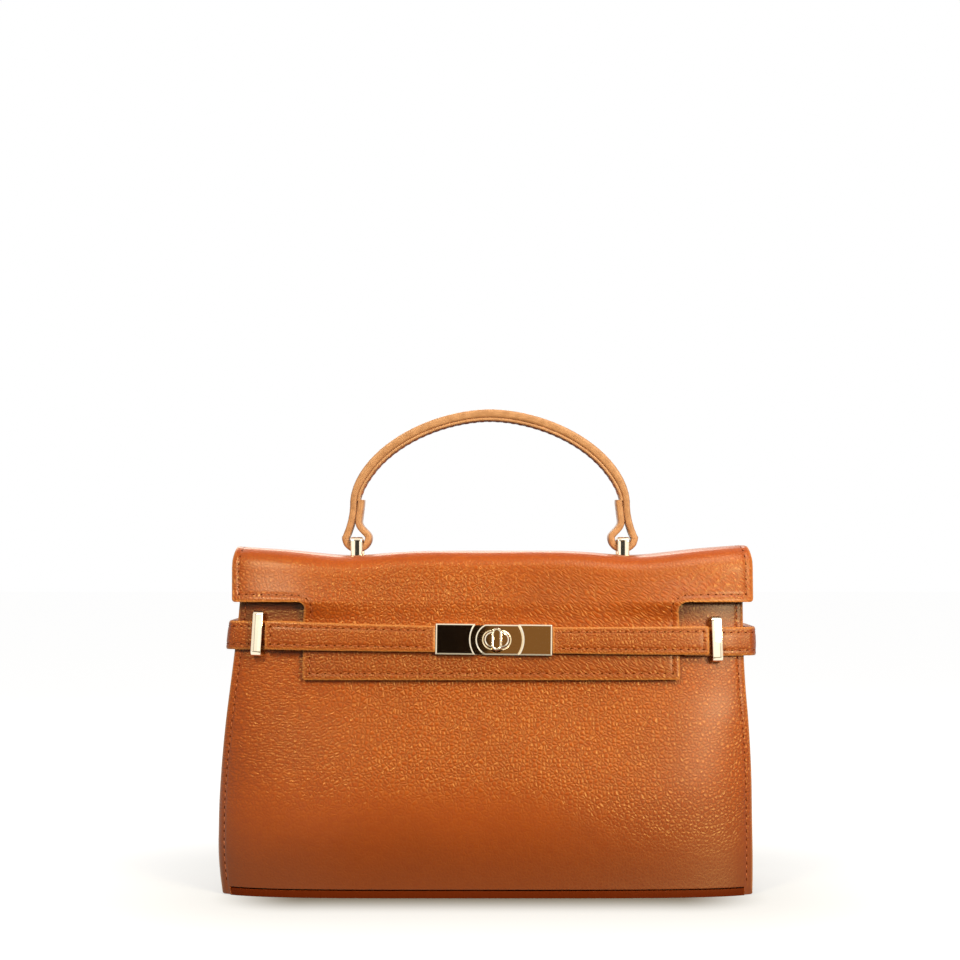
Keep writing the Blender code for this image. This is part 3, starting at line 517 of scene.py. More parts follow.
def sewRoute(mesh, route):
    # route: points and outward directions, close together
    spots = [Vector(spot) for spot, out in route]
    lengths = runLengths(spots)
    total = lengths[-1]
    count = max(1, round(total / stitchLook["pitch"]))

    def at(distance):
        # the spot, its outward direction, the slanted run there and the direction across it
        index = min(max(int(np.searchsorted(lengths, distance)), 1), len(spots) - 1)
        share = (distance - lengths[index - 1]) / max(lengths[index] - lengths[index - 1], 1e-9)
        spot = spots[index - 1].lerp(spots[index], share)
        out = Vector(route[index - 1][1]).lerp(Vector(route[index][1]), share).normalized()
        along = (spots[index] - spots[index - 1]).normalized()
        run = (along + out.cross(along).normalized() * stitchLook["slant"]).normalized()
        return spot, out, run, out.cross(run).normalized()

    def lie(spot, *axes):
        return Matrix.Translation(spot) @ Matrix(axes).transposed().to_4x4()

    def paint(made, index):
        for vert in made["verts"]:
            for face in vert.link_faces:
                face.material_index = index

    for i in range(count):
        spot, out, run, side = at((i + 0.5) * total / count)
        turn = lie(spot, side * stitchLook["width"] / 2, out * stitchLook["height"] / 2,
                   run * stitchLook["length"] / 2)
        paint(bmesh.ops.create_uvsphere(mesh, u_segments=6, v_segments=4, radius=1, matrix=turn), 0)
    # dark discs: painted shade in the needle holes
    for i in range(count + 1):
        spot, out, run, side = at(min(max(i * total / count, 0.01 * mm), total - 0.01 * mm))
        turn = lie(spot + out * stitchLook["holeLift"], side * stitchLook["holeWidth"] / 2,
                   run * stitchLook["holeLength"] / 2, out)
        paint(bmesh.ops.create_circle(mesh, cap_ends=True, segments=8, radius=1, matrix=turn), 1)


def routeOn(place, points, lift=-0.2 * mm):
    # samples straight runs of a pattern about every millimetre
    route = []
    for (u0, v0), (u1, v1) in zip(points, points[1:]):
        count = max(2, int(math.hypot(u1 - u0, v1 - v0) / (1 * mm)))
        for i in range(count + (1 if (u1, v1) == points[-1] else 0)):
            u, v = u0 + (u1 - u0) * i / count, v0 + (v1 - v0) * i / count
            spot = place(u, v, lift)
            route.append((spot, (place(u, v, lift + probeStep) - spot).normalized()))
    return route


def finishStitches(name, body, routes):
    # one row of stitches for each route
    mesh = bmesh.new()
    for route in routes:
        sewRoute(mesh, route)
    bmesh.ops.recalc_face_normals(mesh, faces=mesh.faces)
    settle(finishMesh(name, mesh, [sewingThread, needleHoleShade]), "shell", body)


# Back panel and flap, one hide from the back's foot over the top to the tongue

flapCut = {
    "backEnd": 161.6 * mm, "backFold": 12.0 * mm, "top": 39.4 * mm, "frontFold": 16.5 * mm,
    "front": 15.4 * mm, "tongue": 41.6 * mm, "notchRadius": {left: 4.0 * mm, right: 5.5 * mm},
    "pitch": 3.2 * mm, "sway": 0.7 * mm, "swayWidth": 52 * mm, "stitchInset": 3.5 * mm,
    "widenFrom": 140 * mm, "widenReach": 26 * mm, "drawnIn": 1.2 * mm, "drawnReach": 10 * mm,
    "flare": 3.4 * mm, "flareReach": 10 * mm,
}
stationEnds = [flapCut["backEnd"]]
for part in ("backFold", "top", "frontFold", "front"):
    stationEnds.append(stationEnds[-1] + flapCut[part])
earLine = stationEnds[-1]
tongueLine = earLine + flapCut["tongue"]
tongueLeft, tongueRight = flapShape["tongueLeft"], flapShape["tongueRight"]


def flareAt(u, v):
    # the ears' lower edges stand off the panel; the straps press the tongue flat again
    rise = min(max((v - stationEnds[3] + 4 * mm) / (earLine - stationEnds[3] + 4 * mm), 0), 1) ** 1.3
    fall = 1 - smoothStep((v - earLine) / flapCut["flareReach"])
    return flapCut["flare"] * rise * fall * (0.25 + 0.75 * smoothStep((abs(u) - 55 * mm) / (45 * mm)))


def placeFlap(u, v, lift):
    if v <= flapCut["backEnd"]:
        height = flapShape["foot"] + v
        side = left if u < 0 else right
        edge = abs(flapLeft if u < 0 else flapRight)
        own = halfWidth(side, height)
        widen = smoothStep((height - flapCut["widenFrom"]) / flapCut["widenReach"])
        x = u * (own + (edge - own) * widen) / edge
        calm = 1 - smoothStep((height - 130 * mm) / (30 * mm))
        return onFace(back, x, height, lift + flapCut["sway"] * sway(u, v, flapCut["swayWidth"], 7.3) * calm)
    flare = flareAt(u, v)
    unevenness = flapCut["sway"] * sway(u, v, flapCut["swayWidth"], 2.9)
    if v <= earLine:
        station = next(i for i in range(4) if v <= stationEnds[i + 1] + 1e-9)
        share = (v - stationEnds[station]) / (stationEnds[station + 1] - stationEnds[station])
        calm = smoothStep((v - stationEnds[0]) / (20 * mm))
        calm *= 1 - 0.75 * smoothStep((v - stationEnds[3]) / (12 * mm))
        fold = smoothStep((v - stationEnds[0]) / flapCut["drawnReach"])
        fold *= 1 - smoothStep((v - stationEnds[2]) / flapCut["frontFold"])
        narrowed = 1 - (flapCut["drawnIn"] * fold + 0.5 * flare) / flapShape["half"]
        return onFlap(u * narrowed, station + share, lift + unevenness * calm + flare)
    ear = flapShape["earHeight"]
    height = ear + (flapShape["tongueHeight"] - ear) * (v - earLine) / flapCut["tongue"]
    narrowed = 1 - 0.5 * flare / flapShape["half"]
    return onFace(front, u * narrowed, height, flapShape["lift"] + lift + flare + 0.25 * unevenness)


def flapGrain(u, v):
    # faint on the folds, strong on the front, where the right half is drawn into slanted wrinkles
    down = smoothStep((v - stationEnds[2] - 4 * mm) / (20 * mm))
    rear = 1 - smoothStep((v - flapCut["backEnd"] + 10 * mm) / (20 * mm))
    slanted = smoothStep((u + 12 * mm) / (45 * mm)) * smoothStep((v - stationEnds[3] + 8 * mm) / (12 * mm))
    # painted shadow of the strap on the tongue's lower part
    under = smoothStep((v - earLine - 21 * mm) / (4 * mm))
    return max(0.3 + 0.7 * down, 0.8 * rear), 0.0, 0.85 * slanted, 0.3 * under


flapCorners = [
    (flapLeft, 0, 2.0 * mm), (flapRight, 0, 2.0 * mm), (flapRight, earLine, 1.5 * mm),
    (tongueRight, earLine, flapCut["notchRadius"][right]),
    (tongueRight, tongueLine, 1.7 * mm), (tongueLeft, tongueLine, 1.7 * mm),
    (tongueLeft, earLine, flapCut["notchRadius"][left]), (flapLeft, earLine, 1.5 * mm),
]
flapColumns = cutLines(flapLeft, flapRight, flapCut["pitch"])
flapColumns += [edge + side * n for edge, side in ((tongueLeft, 1), (tongueRight, -1)) for n in edgeCuts]
flapRows = cutLines(0, tongueLine, flapCut["pitch"]) + [earLine - n for n in edgeCuts] + [earLine]
flapRows += [stationEnds[1] - 6 * mm] + [stationEnds[3] - n * mm for n in (4, 8, 12)]
backAndFlap = makeSheet("backAndFlap", flapCorners, flapColumns, flapRows, placeFlap, flapShape["thickness"],
                        leatherSet, inset=flapCut["stitchInset"], grainOf=flapGrain)
settle(backAndFlap, "shell", "body and flap", "back_panel", "flap_top", "flap_tongue")

inset = flapCut["stitchInset"]


def notchTurn(side):
    # the seam's arc round the notch between an ear and the tongue
    radius = flapCut["notchRadius"][side]
    middle = (tongueLeft if side < 0 else tongueRight) + side * radius
    turn = [math.radians(10 * i) for i in range(10)]
    return [(middle - side * (radius + inset) * math.sin(angle),
             earLine + radius - (radius + inset) * math.cos(angle)) for angle in turn]


flapRuns = []
for side, edge, tongueEdge in ((left, flapLeft + inset, tongueLeft + inset),
                               (right, flapRight - inset, tongueRight - inset)):
    flapRuns.append([(edge, inset), (edge, earLine - inset)])
    flapRuns.append([(edge, earLine - inset)] + notchTurn(side) + [(tongueEdge, tongueLine - inset)])
flapRuns.append([(flapLeft + inset, inset), (flapRight - inset, inset)])
flapRuns.append([(tongueLeft + inset, tongueLine - inset), (tongueRight - inset, tongueLine - inset)])
finishStitches("flapStitches", "body and flap", [routeOn(placeFlap, points) for points in flapRuns])

liningCut = {"margin": 0.6 * mm, "depth": 1.9 * mm, "thickness": 0.6 * mm, "pitch": 6.5 * mm}


def placeFlapLining(u, v, lift):
    return placeFlap(u, v, lift - liningCut["depth"])


margin = liningCut["margin"]
liningStart = flapCut["backEnd"] + 1 * mm
liningCorners = [
    (flapLeft + margin, liningStart, 0), (flapRight - margin, liningStart, 0),
    (flapRight - margin, earLine - margin, 1.2 * mm),
    (tongueRight - margin, earLine - margin, flapCut["notchRadius"][right]),
    (tongueRight - margin, tongueLine - margin, 1.5 * mm),
    (tongueLeft + margin, tongueLine - margin, 1.5 * mm),
    (tongueLeft + margin, earLine - margin, flapCut["notchRadius"][left]),
    (flapLeft + margin, earLine - margin, 1.2 * mm),
]
flapLining = makeSheet("flapLining", liningCorners,
                       cutLines(flapLeft, flapRight, liningCut["pitch"], edged=False),
                       cutLines(liningStart, tongueLine - margin, liningCut["pitch"] / 2, edged=False),
                       placeFlapLining, liningCut["thickness"], suedeSet, inset=0, bevel=0.1 * mm)
settle(flapLining, "lining", "body and flap", "flap_lining", "tongue_lining")
print("back panel and flap made")


# Front panel

panelCut = {"half": 133.5 * mm, "thickness": 1.8 * mm, "pitch": 3.4 * mm, "crown": 3.2 * mm,
            "crownTop": 106 * mm, "sway": 0.7 * mm, "swayWidth": 60 * mm, "stitchInset": 3.5 * mm,
            "strip": 4.6 * mm, "drop": 3.9 * mm}


def panelLift(u, height):
    # a filled bag's panel swells a little below the flap and lies flat under it
    calm = 1 - smoothStep((height - 85 * mm) / (20 * mm))
    across = max(0.0, 1 - (u / panelCut["half"]) ** 4)
    share = min(max(height / panelCut["crownTop"], 0), 1) ** 0.85
    return (panelCut["crown"] * across * math.sin(math.pi * share) ** 2
            + calm * panelCut["sway"] * sway(u, height, panelCut["swayWidth"], 4.1))


def placePanel(u, v, lift):
    height = flapShape["foot"] + v
    x = u / panelCut["half"] * halfWidth(left if u < 0 else right, height)
    return onFace(front, x, height, lift + panelLift(u, height))


def panelGrain(u, v):
    # level wrinkles at the left, smooth and burnished low down except at the right, painted shade under the
    # flap
    low = 1 - smoothStep((v - (28 - 18 * smoothStep((u - 20 * mm) / (70 * mm))) * mm) / (34 * mm))
    level = smoothStep((-u - 62 * mm) / (42 * mm)) * smoothStep((v - 38 * mm) / (16 * mm))
    # painted shade under the flap's ears, where the gap lies in shadow
    paintedFlapShade = smoothStep((v - 128 * mm) / (8 * mm))
    return 1 - 0.85 * low, 0.6 * level, 0.0, paintedFlapShade


def panelSeamed(start, end):
    # the panel is sewn at its sides and top, and turned under at its foot
    return max(start[1], end[1]) > 0.001 * mm


panelTop = bodyShape["frontWallHeight"] - flapShape["foot"]
half, inset = panelCut["half"], panelCut["stitchInset"]
# the strips outside the seams run down past the base to the floor
strip, drop = panelCut["strip"], panelCut["drop"]
panelCorners = [
    (-half, -drop, 1.2 * mm), (-half + strip, -drop, 0), (-half + strip, 0, 0), (half - strip, 0, 0),
    (half - strip, -drop, 0), (half, -drop, 1.2 * mm), (half, panelTop, 5.0 * mm),
    (-half, panelTop, 5.0 * mm),
]
frontPanel = makeSheet("frontPanel", panelCorners,
                       cutLines(-half, half, panelCut["pitch"]) + [-half + strip, half - strip],
                       cutLines(0, panelTop, panelCut["pitch"]) + [0], placePanel, panelCut["thickness"],
                       leatherSet, inset=inset, grainOf=panelGrain, seamed=panelSeamed)
settle(frontPanel, "shell", "body", "front_panel")
upperLeft, upperRight = (-half + inset, panelTop - inset), (half - inset, panelTop - inset)
finishStitches("frontPanelStitches", "body", [routeOn(placePanel, points) for points in (
    [upperLeft, (-half + inset, inset)], [(half - inset, inset), upperRight], [upperLeft, upperRight])])

# Inside of the walls: board and suede, one sheet each

wallInside = {"lift": 2.1 * mm, "thickness": 2.6 * mm, "margin": 5.5 * mm, "low": 7.1 * mm,
              "columnPitch": 6 * mm, "rowPitch": 9 * mm}


def makeWallInside(name, facing, top):
    wide, low = panelCut["half"] - wallInside["margin"], wallInside["low"]

    def place(u, v, lift):
        side = left if u < 0 else right
        x = u / wide * (halfWidth(side, v) - wallInside["margin"])
        return onFace(facing, x, v, lift - wallInside["lift"])

    corners = [(-wide, low, 1 * mm), (wide, low, 1 * mm), (wide, top, 3 * mm), (-wide, top, 3 * mm)]
    return makeSheet(name, corners, cutLines(-wide, wide, wallInside["columnPitch"], edged=False),
                     cutLines(low, top, wallInside["rowPitch"], edged=False), place,
                     wallInside["thickness"], suedeSet, inset=0, bevel=0.25 * mm)


for word, facing, top in (("front", front, bodyShape["frontWallHeight"]),
                          ("back", back, bodyShape["wallHeight"])):
    settle(makeWallInside(word + "Inside", facing, top), "lining", "body", word + "_board", word + "_lining")

pocketCut = {"half": 69.5 * mm, "low": 55 * mm, "top": 124 * mm, "lift": 5.0 * mm, "thickness": 1.0 * mm,
             "pitch": 7 * mm}


def placePocket(u, v, lift):
    return onFace(back, u, v, lift - pocketCut["lift"])


wide, low, top = pocketCut["half"], pocketCut["low"], pocketCut["top"]
pocketCorners = [(-wide, low, 5 * mm), (wide, low, 5 * mm), (wide, top, 1 * mm), (-wide, top, 1 * mm)]
slipPocket = makeSheet("slipPocket", pocketCorners, cutLines(-wide, wide, pocketCut["pitch"]),
                       cutLines(low, top, pocketCut["pitch"]), placePocket, pocketCut["thickness"], suedeSet,
                       inset=3 * mm, bevel=0.2 * mm)
settle(slipPocket, "lining", "body", "slip_pocket")

# Gussets: the side walls, folded inwards along their middle

gussetCut = {"inset": 2.5 * mm, "fold": 7.0 * mm, "half": 40 * mm, "stitchInset": 3.2 * mm,
             "columnPitch": 4 * mm, "rowPitch": 4.5 * mm}
gussetLayers = (("Gusset", "gusset_", "shell", leatherSet,
                 {"depth": 0.0, "thickness": 1.6 * mm, "low": 4.0 * mm, "clearance": 2.4 * mm}),
                ("GussetLining", "gusset_lining_", "lining", suedeSet,
                 {"depth": 1.9 * mm, "thickness": 0.8 * mm, "low": 7.6 * mm, "clearance": 2.7 * mm}))


def makeGusset(name, side, layer, materials):
    top, wide = bodyShape["gussetHeight"], gussetCut["half"]

    def reachAt(height):
        edgeX = halfWidth(side, height) - gussetCut["inset"] - layer["depth"]
        out = faceAxes(front, side * edgeX, height)[2]
        return edgeX, abs(facePoint(front, side * edgeX, height).y) - layer["clearance"] / abs(out.y)

    def place(u, v, lift):
        edgeX, reach = reachAt(v)
        share = u / wide
        fold = gussetCut["fold"] * (v / bodyShape["wallHeight"]) ** 2 * (1 - share * share) ** 2
        return Vector((side * (edgeX - fold + lift), share * reach, v))

    def uvOf(u, v):
        return (u / wide * reachAt(v)[1], v)

    low = layer["low"]
    corners = [(-wide, low, 0), (wide, low, 0), (wide, top, 0), (-wide, top, 0)]
    return makeSheet(name, corners, cutLines(-wide, wide, gussetCut["columnPitch"], edged=False),
                     cutLines(low, top, gussetCut["rowPitch"]), place, layer["thickness"], materials,
                     inset=gussetCut["stitchInset"], uvOf=uvOf)


for side, word in ((left, "left"), (right, "right")):
    for ending, node, slot, materials, layer in gussetLayers:
        settle(makeGusset(word + ending, side, layer, materials), slot, "body", node + word)

# Base: a thick leather sole with a rounded rim, and the board and suede on it

baseCut = {"half": 133.5 * mm, "inset": 0.5 * mm, "endInset": 4.2 * mm, "top": 3.6 * mm, "inside": 4.7 * mm,
           "insideTop": 6.6 * mm, "insideThickness": 2.6 * mm, "pitch": 12 * mm}


def makeFloor(name, top, thickness, margin, endMargin, materials, bevel):
    wide, deep = baseCut["half"], bodyShape["baseHalfDepth"]

    def place(u, v, lift):
        x = u / wide * (halfWidth(left if u < 0 else right, 0) - endMargin)
        return Vector((x, v / deep * (halfDepth(0) * fullness(x) - margin), top + lift))

    corners = [(-wide, -deep, 0), (wide, -deep, 0), (wide, deep, 0), (-wide, deep, 0)]
    return makeSheet(name, corners, [wide * math.sin(math.radians(turn)) for turn in range(-87, 88, 3)],
                     cutLines(-deep, deep, baseCut["pitch"], edged=False), place, thickness, materials,
                     inset=0, bevel=bevel)


basePanel = makeFloor("basePanel", baseCut["top"], baseCut["top"], baseCut["inset"], baseCut["endInset"],
                      [soleLeather] * 3, 1.1 * mm)
basePanel.modifiers["edges"].segments = 4
settle(basePanel, "shell", "body", "base_panel")
baseInside = makeFloor("baseInside", baseCut["insideTop"], baseCut["insideThickness"], baseCut["inside"],
                       baseCut["inside"], suedeSet, 0.3 * mm)
settle(baseInside, "lining", "body", "base_board", "base_lining")
print("body made")


# Straps

strapCut = {"width": 14.4 * mm, "tipWidth": 13.1 * mm, "thickness": 2.6 * mm, "lift": 5.9 * mm,
            "endInset": 4.0 * mm, "lockX": 3.4 * mm, "reach": {left: 30.7 * mm, right: 27.8 * mm},
            "stitchInset": 2.7 * mm, "seamEnd": 1.5 * mm, "crown": 0.25 * mm, "bevel": 0.45 * mm,
            "pitch": 3 * mm, "rowPitch": 1.6 * mm}
sideStrap = {"thickness": 2.4 * mm, "innerReach": 97 * mm, "backReach": 92 * mm, "turn": 60,
             "clearance": {left: 2.1 * mm, right: 4.0 * mm}}
loopInset = {left: 12.6 * mm, right: 15.1 * mm}


def loopX(side):
    return side * (halfWidth(side, bodyShape["strapHeight"]) - loopInset[side])


def strapEnds(side):
    # beside its metal loop and at its clasp plate
    return (loopX(side) - side * strapCut["endInset"],
            strapCut["lockX"] + side * (strapCut["reach"][side] + bodyShape["gap"]))


def strapCrown(v):
    return strapCut["crown"] * (1 - (2 * v / strapCut["width"]) ** 2)


def placeStrap(u, v, lift):
    # the strap narrows towards its clasp plate
    outer, inner = strapEnds(left if u < strapCut["lockX"] else right)
    run = (u - outer) / (inner - outer)
    narrowed = v * (1 + (strapCut["tipWidth"] / strapCut["width"] - 1) * run)
    return onFace(front, u, strapMiddle(u) + narrowed, strapCut["lift"] + lift + strapCrown(v))


across = strapCut["width"] / 2
reach = across - strapCut["stitchInset"]
strapRows = cutLines(-across, across, strapCut["rowPitch"])
for side, word in ((left, "left"), (right, "right")):
    outer, inner = strapEnds(side)
    low, high = sorted((outer, inner))
    ends = (1.2 * mm, 0.3 * mm) if side < 0 else (0.3 * mm, 1.2 * mm)
    corners = [(low, -across, ends[0]), (high, -across, ends[1]),
               (high, across, ends[1]), (low, across, ends[0])]
    strap = makeSheet(word + "Strap", corners, cutLines(low, high, strapCut["pitch"]), strapRows, placeStrap,
                      strapCut["thickness"], strapSet, inset=strapCut["stitchInset"], bevel=strapCut["bevel"])
    settle(strap, "shell", word + "_strap", "strap_" + word)
    turn, stop = outer - side * strapCut["stitchInset"], inner + side * strapCut["seamEnd"]
    finishStitches(word + "StrapStitches", word + "_strap", [routeOn(placeStrap, points) for points in (
        [(turn, -reach), (stop, -reach)], [(turn, reach), (stop, reach)], [(turn, -reach), (turn, reach)])])


def sideRoute(side, height):
    # from the front face round the side wall's two corners to the back face
    lift = bodyShape["gap"] + sideStrap["thickness"]
    edge = halfWidth(side, height)
    bend = sideStrap["thickness"] + sideStrap["clearance"][side]
    cornerY = abs(onFace(front, side * (edge - bodyShape["gap"]), height, lift).y) - bend

    def onWall(facing, start, end):
        return [onFace(facing, side * (start + (end - start) * i / 12), height, lift).xy for i in range(13)]

    def bent(facing, turns):
        return [Vector((side * (edge + bend * math.cos(turn)), facing * (cornerY + bend * math.sin(turn))))
                for turn in turns]

    turns = [math.radians(sideStrap["turn"] * i / 8) for i in range(9)]
    straight = [Vector((side * (edge + bend), cornerY * (i / 4 - 1))) for i in range(1, 8)]
    return (onWall(front, sideStrap["innerReach"], edge - bend) + bent(front, turns[::-1]) + straight
            + bent(back, turns) + onWall(back, edge - bend, sideStrap["backReach"]))


def makeSideStrap(side, word):
    base = strapMiddle(side * flapShape["half"])
    routes = {}

    def routeAt(v):
        key = round(v / (0.01 * mm))
        if key not in routes:
            routes[key] = sideRoute(side, base + v)
        return routes[key]

    runs = runLengths(routeAt(0))
    total = runs[-1]

    def place(u, v, lift):
        route = routeAt(v)
        index = min(max(int(np.searchsorted(runs, u)), 1), len(route) - 1)
        share = (u - runs[index - 1]) / (runs[index] - runs[index - 1])
        spot = route[index - 1].lerp(route[index], min(max(share, 0), 1))
        before = route[max(index - 2, 0)].lerp(route[index - 1], share) if index > 1 else route[0]
        run = route[index].lerp(route[min(index + 1, len(route) - 1)], share) - before
        spot = spot + Vector((run.y, -run.x)).normalized() * side * (lift + strapCrown(v))
        return Vector((spot.x, spot.y, base + v))

    corners = [(0, -across, 2 * mm), (total, -across, 2 * mm), (total, across, 2 * mm), (0, across, 2 * mm)]
    wrap = makeSheet(word + "SideStrap", corners, cutLines(0, total, strapCut["pitch"]) + runs[1:-1],
                     strapRows, place, sideStrap["thickness"], strapSet, inset=strapCut["stitchInset"],
                     bevel=strapCut["bevel"])
    settle(wrap, "shell", "body", "side_strap_" + word)
    ends = (strapCut["seamEnd"], total - strapCut["seamEnd"])
    finishStitches(word + "SideStrapStitches", "body", [
        routeOn(place, [(ends[0], level), (ends[1], level)]) for level in (-reach, reach)])


for side, word in ((left, "left"), (right, "right")):
    makeSideStrap(side, word)
print("straps made")


# Swept strips: a rounded section carried along a route, closed at both ends

sectionPitch, farFromRim = 1.6 * mm, 5 * mm


def roundedSection(width, thickness, radius, steps, crown=0.0):
    # (across, depth) pairs anticlockwise, the outer face at depth 0
    wide, deep = width / 2 - radius, radius - thickness
    section = []
    for cx, cy, start in ((wide, -radius, 0), (-wide, -radius, 90), (-wide, deep, 180), (wide, deep, 270)):
        for i in range(steps + 1):
            angle = math.radians(start + 90 * i / steps)
            section.append((cx + radius * math.cos(angle), cy + radius * math.sin(angle)))
    dense = []
    for (a0, d0), (a1, d1) in zip(section, section[1:] + section[:1]):
        count = max(1, math.ceil(math.hypot(a1 - a0, d1 - d0) / sectionPitch))
        dense += [(a0 + (a1 - a0) * i / count, d0 + (d1 - d0) * i / count) for i in range(count)]
    lift = [crown * (1 - (2 * a / width) ** 2) * (1 if d > -thickness / 2 else -1) for a, d in dense]
    return [(a, d + rise) for (a, d), rise in zip(dense, lift)]


def makeSweep(name, path, frameOf, section, materials, edgeAcross=None, depthAt=None):
    # path: (x, z) points in the frame's plane; the section's depth runs along their normal
    mesh = bmesh.new()
    ring, columns = len(section), len(path)
    bmesh.ops.create_grid(mesh, x_segments=columns - 1, y_segments=ring, size=1)
    uvLayer = mesh.loops.layers.uv.new("pattern")
    rimLayer, reliefLayer = (mesh.verts.layers.float.new(word) for word in ("rim", "relief"))
    runs, around = runLengths(path), runLengths(section + section[:1])
    indexOf = {vert.index: (round((vert.co.x + 1) / 2 * (columns - 1)), round((vert.co.y + 1) / 2 * ring))
               for vert in mesh.verts}
    for face in mesh.faces:
        for loop in face.loops:
            i, j = indexOf[loop.vert.index]
            loop[uvLayer].uv = (runs[i], around[j])
        middle = sum(section[indexOf[vert.index][1] % ring][0] for vert in face.verts) / 4
        if edgeAcross and abs(middle) > edgeAcross:
            face.material_index = 1
    for vert in mesh.verts:
        i, j = indexOf[vert.index]
        across, depth = section[j % ring]
        depth *= depthAt(i) if depthAt else 1
        before, after = Vector(path[max(i - 1, 0)]), Vector(path[min(i + 1, columns - 1)])
        run = (after - before).normalized()
        spot = Vector(path[i]) + depth * Vector((-run.y, run.x))
        vert.co = frameOf @ Vector((spot.x, across, spot.y))
        vert[reliefLayer] = 1.0
        vert[rimLayer] = farFromRim
    bmesh.ops.remove_doubles(mesh, verts=mesh.verts, dist=1e-6)
    bmesh.ops.holes_fill(mesh, edges=[edge for edge in mesh.edges if edge.is_boundary], sides=0)
    bmesh.ops.recalc_face_normals(mesh, faces=mesh.faces)
    made = finishMesh(name, mesh, materials)
    made.data.set_sharp_from_angle(angle=math.radians(40))
    return made


# Handle

handleShape = {
    "width": 14.0 * mm, "thickness": 3.4 * mm, "halfSpan": 72.4 * mm, "spring": 197.0 * mm,
    "top": 245.6 * mm, "power": 1.83, "fold": 198.7 * mm, "eyeX": 68.9 * mm, "eyeHeight": 179.3 * mm,
    "eyeRadius": 4.3 * mm, "throat": 187.5 * mm, "foldGap": 0.45 * mm, "aboveFold": 1.8 * mm, "archSteps": 96,
    "archThickness": 4.25 * mm, "thicken": 14, "edgeRound": 1.1 * mm, "crown": 0.08 * mm,
    "underThickness": 1.55 * mm, "underNarrower": 0.3 * mm, "underGap": 0.05 * mm, "underRound": 0.6 * mm,
    "paintWidth": 0.6 * mm, "stitchInset": 2.6 * mm, "stitchDrop": 0.05 * mm, "unsewn": 40,
}


def archPoint(angle):
    power = 2 / handleShape["power"]
    across = math.copysign(abs(math.cos(angle)) ** power, math.cos(angle))
    rise = abs(math.sin(angle)) ** power * (handleShape["top"] - handleShape["spring"])
    return across * handleShape["halfSpan"], handleShape["spring"] + rise


def eyeRoute(side):
    # down the outside of a leg, round the staple's bar and back up to the fold's end
    span, spring, throat = handleShape["halfSpan"], handleShape["spring"], handleShape["throat"]
    eyeX, eyeHeight = handleShape["eyeX"], handleShape["eyeHeight"]
    outer = handleShape["eyeRadius"] + handleShape["thickness"]
    stack = 2 * handleShape["thickness"] + handleShape["foldGap"]
    splay, drop = eyeX + outer - span, spring - eyeHeight
    points = [(span + splay * (i / 12) ** 2, spring - drop * i / 12) for i in range(1, 12)]
    for i in range(37):
        angle = math.radians(-180 * i / 36)
        points.append((eyeX + outer * math.cos(angle), eyeHeight + outer * math.sin(angle)))
    innerX, throatX = eyeX - outer, span + splay * ((spring - throat) / drop) ** 2 - stack
    for i in range(1, 13):
        bow = (1 - math.cos(i / 12 * math.pi)) / 2
        points.append((innerX + (throatX - innerX) * bow, eyeHeight + (throat - eyeHeight) * i / 12))
    points += [((throatX + span - stack) / 2, (throat + spring) / 2), (span - stack, spring),
               (span - stack, handleShape["fold"])]
    return [(side * x, z) for x, z in points]


def innerPath(path, depth):
    moved = []
    for before, spot, after in zip(path, path[1:], path[2:]):
        run = (Vector(after) - Vector(before)).normalized()
        moved.append((spot[0] + run.y * depth, spot[1] - run.x * depth))
    return moved


handleRise = handleShape["fold"] + handleShape["aboveFold"] - handleShape["spring"]
archRise = handleShape["top"] - handleShape["spring"]
firstTurn = math.asin((handleRise / archRise) ** (handleShape["power"] / 2))
steps = handleShape["archSteps"]
archTurns = [math.pi, math.pi - firstTurn / 2]
archTurns += [math.pi - firstTurn - (math.pi - 2 * firstTurn) * i / steps for i in range(steps + 1)]
archTurns += [firstTurn / 2, 0]
archPath = [archPoint(turn) for turn in archTurns]
leftEye = eyeRoute(left)[::-1]
strapPath = leftEye + archPath + eyeRoute(right)
archStart, archEnd = len(leftEye), len(leftEye) + len(archPath) - 1
upright = Matrix.Identity(4)


def archDepth(i):
    # the strap is thicker on the arch, where the layer under it is skived thin
    inside = min(i - archStart, archEnd - i) / handleShape["thicken"]
    return 1 + (handleShape["archThickness"] / handleShape["thickness"] - 1) * smoothStep(inside)


handleSection = roundedSection(handleShape["width"], handleShape["thickness"], handleShape["edgeRound"], 5,
                               handleShape["crown"])
handleStrap = makeSweep("handleStrap", strapPath, upright, handleSection, [handleLeather, handleEdgePaint],
                        edgeAcross=handleShape["width"] / 2 - handleShape["paintWidth"], depthAt=archDepth)
underPath = []
for i, spot in enumerate(innerPath(archPath, 1)):
    depth = handleShape["thickness"] * archDepth(archStart + i + 1) + handleShape["underGap"]
    underPath.append(tuple(Vector(archPath[i + 1]).lerp(Vector(spot), depth)))
underWidth = handleShape["width"] - handleShape["underNarrower"]
underSection = roundedSection(underWidth, handleShape["underThickness"], handleShape["underRound"], 4)
handleUnder = makeSweep("handleUnder", underPath, upright, underSection, [handleLeather, handleEdgePaint],
                        edgeAcross=underWidth / 2 - handleShape["paintWidth"])
settle(handleStrap, "shell", "handle", "handle_strap")
settle(handleUnder, "shell", "handle", "handle_under")


def handleSeamRoute(path, across, outward):
    route = []
    for before, spot, after in zip(path, path[1:], path[2:]):
        run = (Vector(after) - Vector(before)).normalized()
        normal = Vector((-run.y, 0, run.x))
        sewn = Vector((spot[0], across, spot[1])) - normal * handleShape["stitchDrop"]
        route.append((sewn, normal * outward))
    return route


reach = handleShape["width"] / 2 - handleShape["stitchInset"]
sewnPath = strapPath[handleShape["unsewn"]:-handleShape["unsewn"]]
underFace = innerPath(underPath, handleShape["underThickness"])
finishStitches("handleStitches", "handle", [
    handleSeamRoute(path, across, outward)
    for across in (-reach, reach) for path, outward in ((sewnPath, 1), (underFace, -1))])
print("handle made")


# Metal

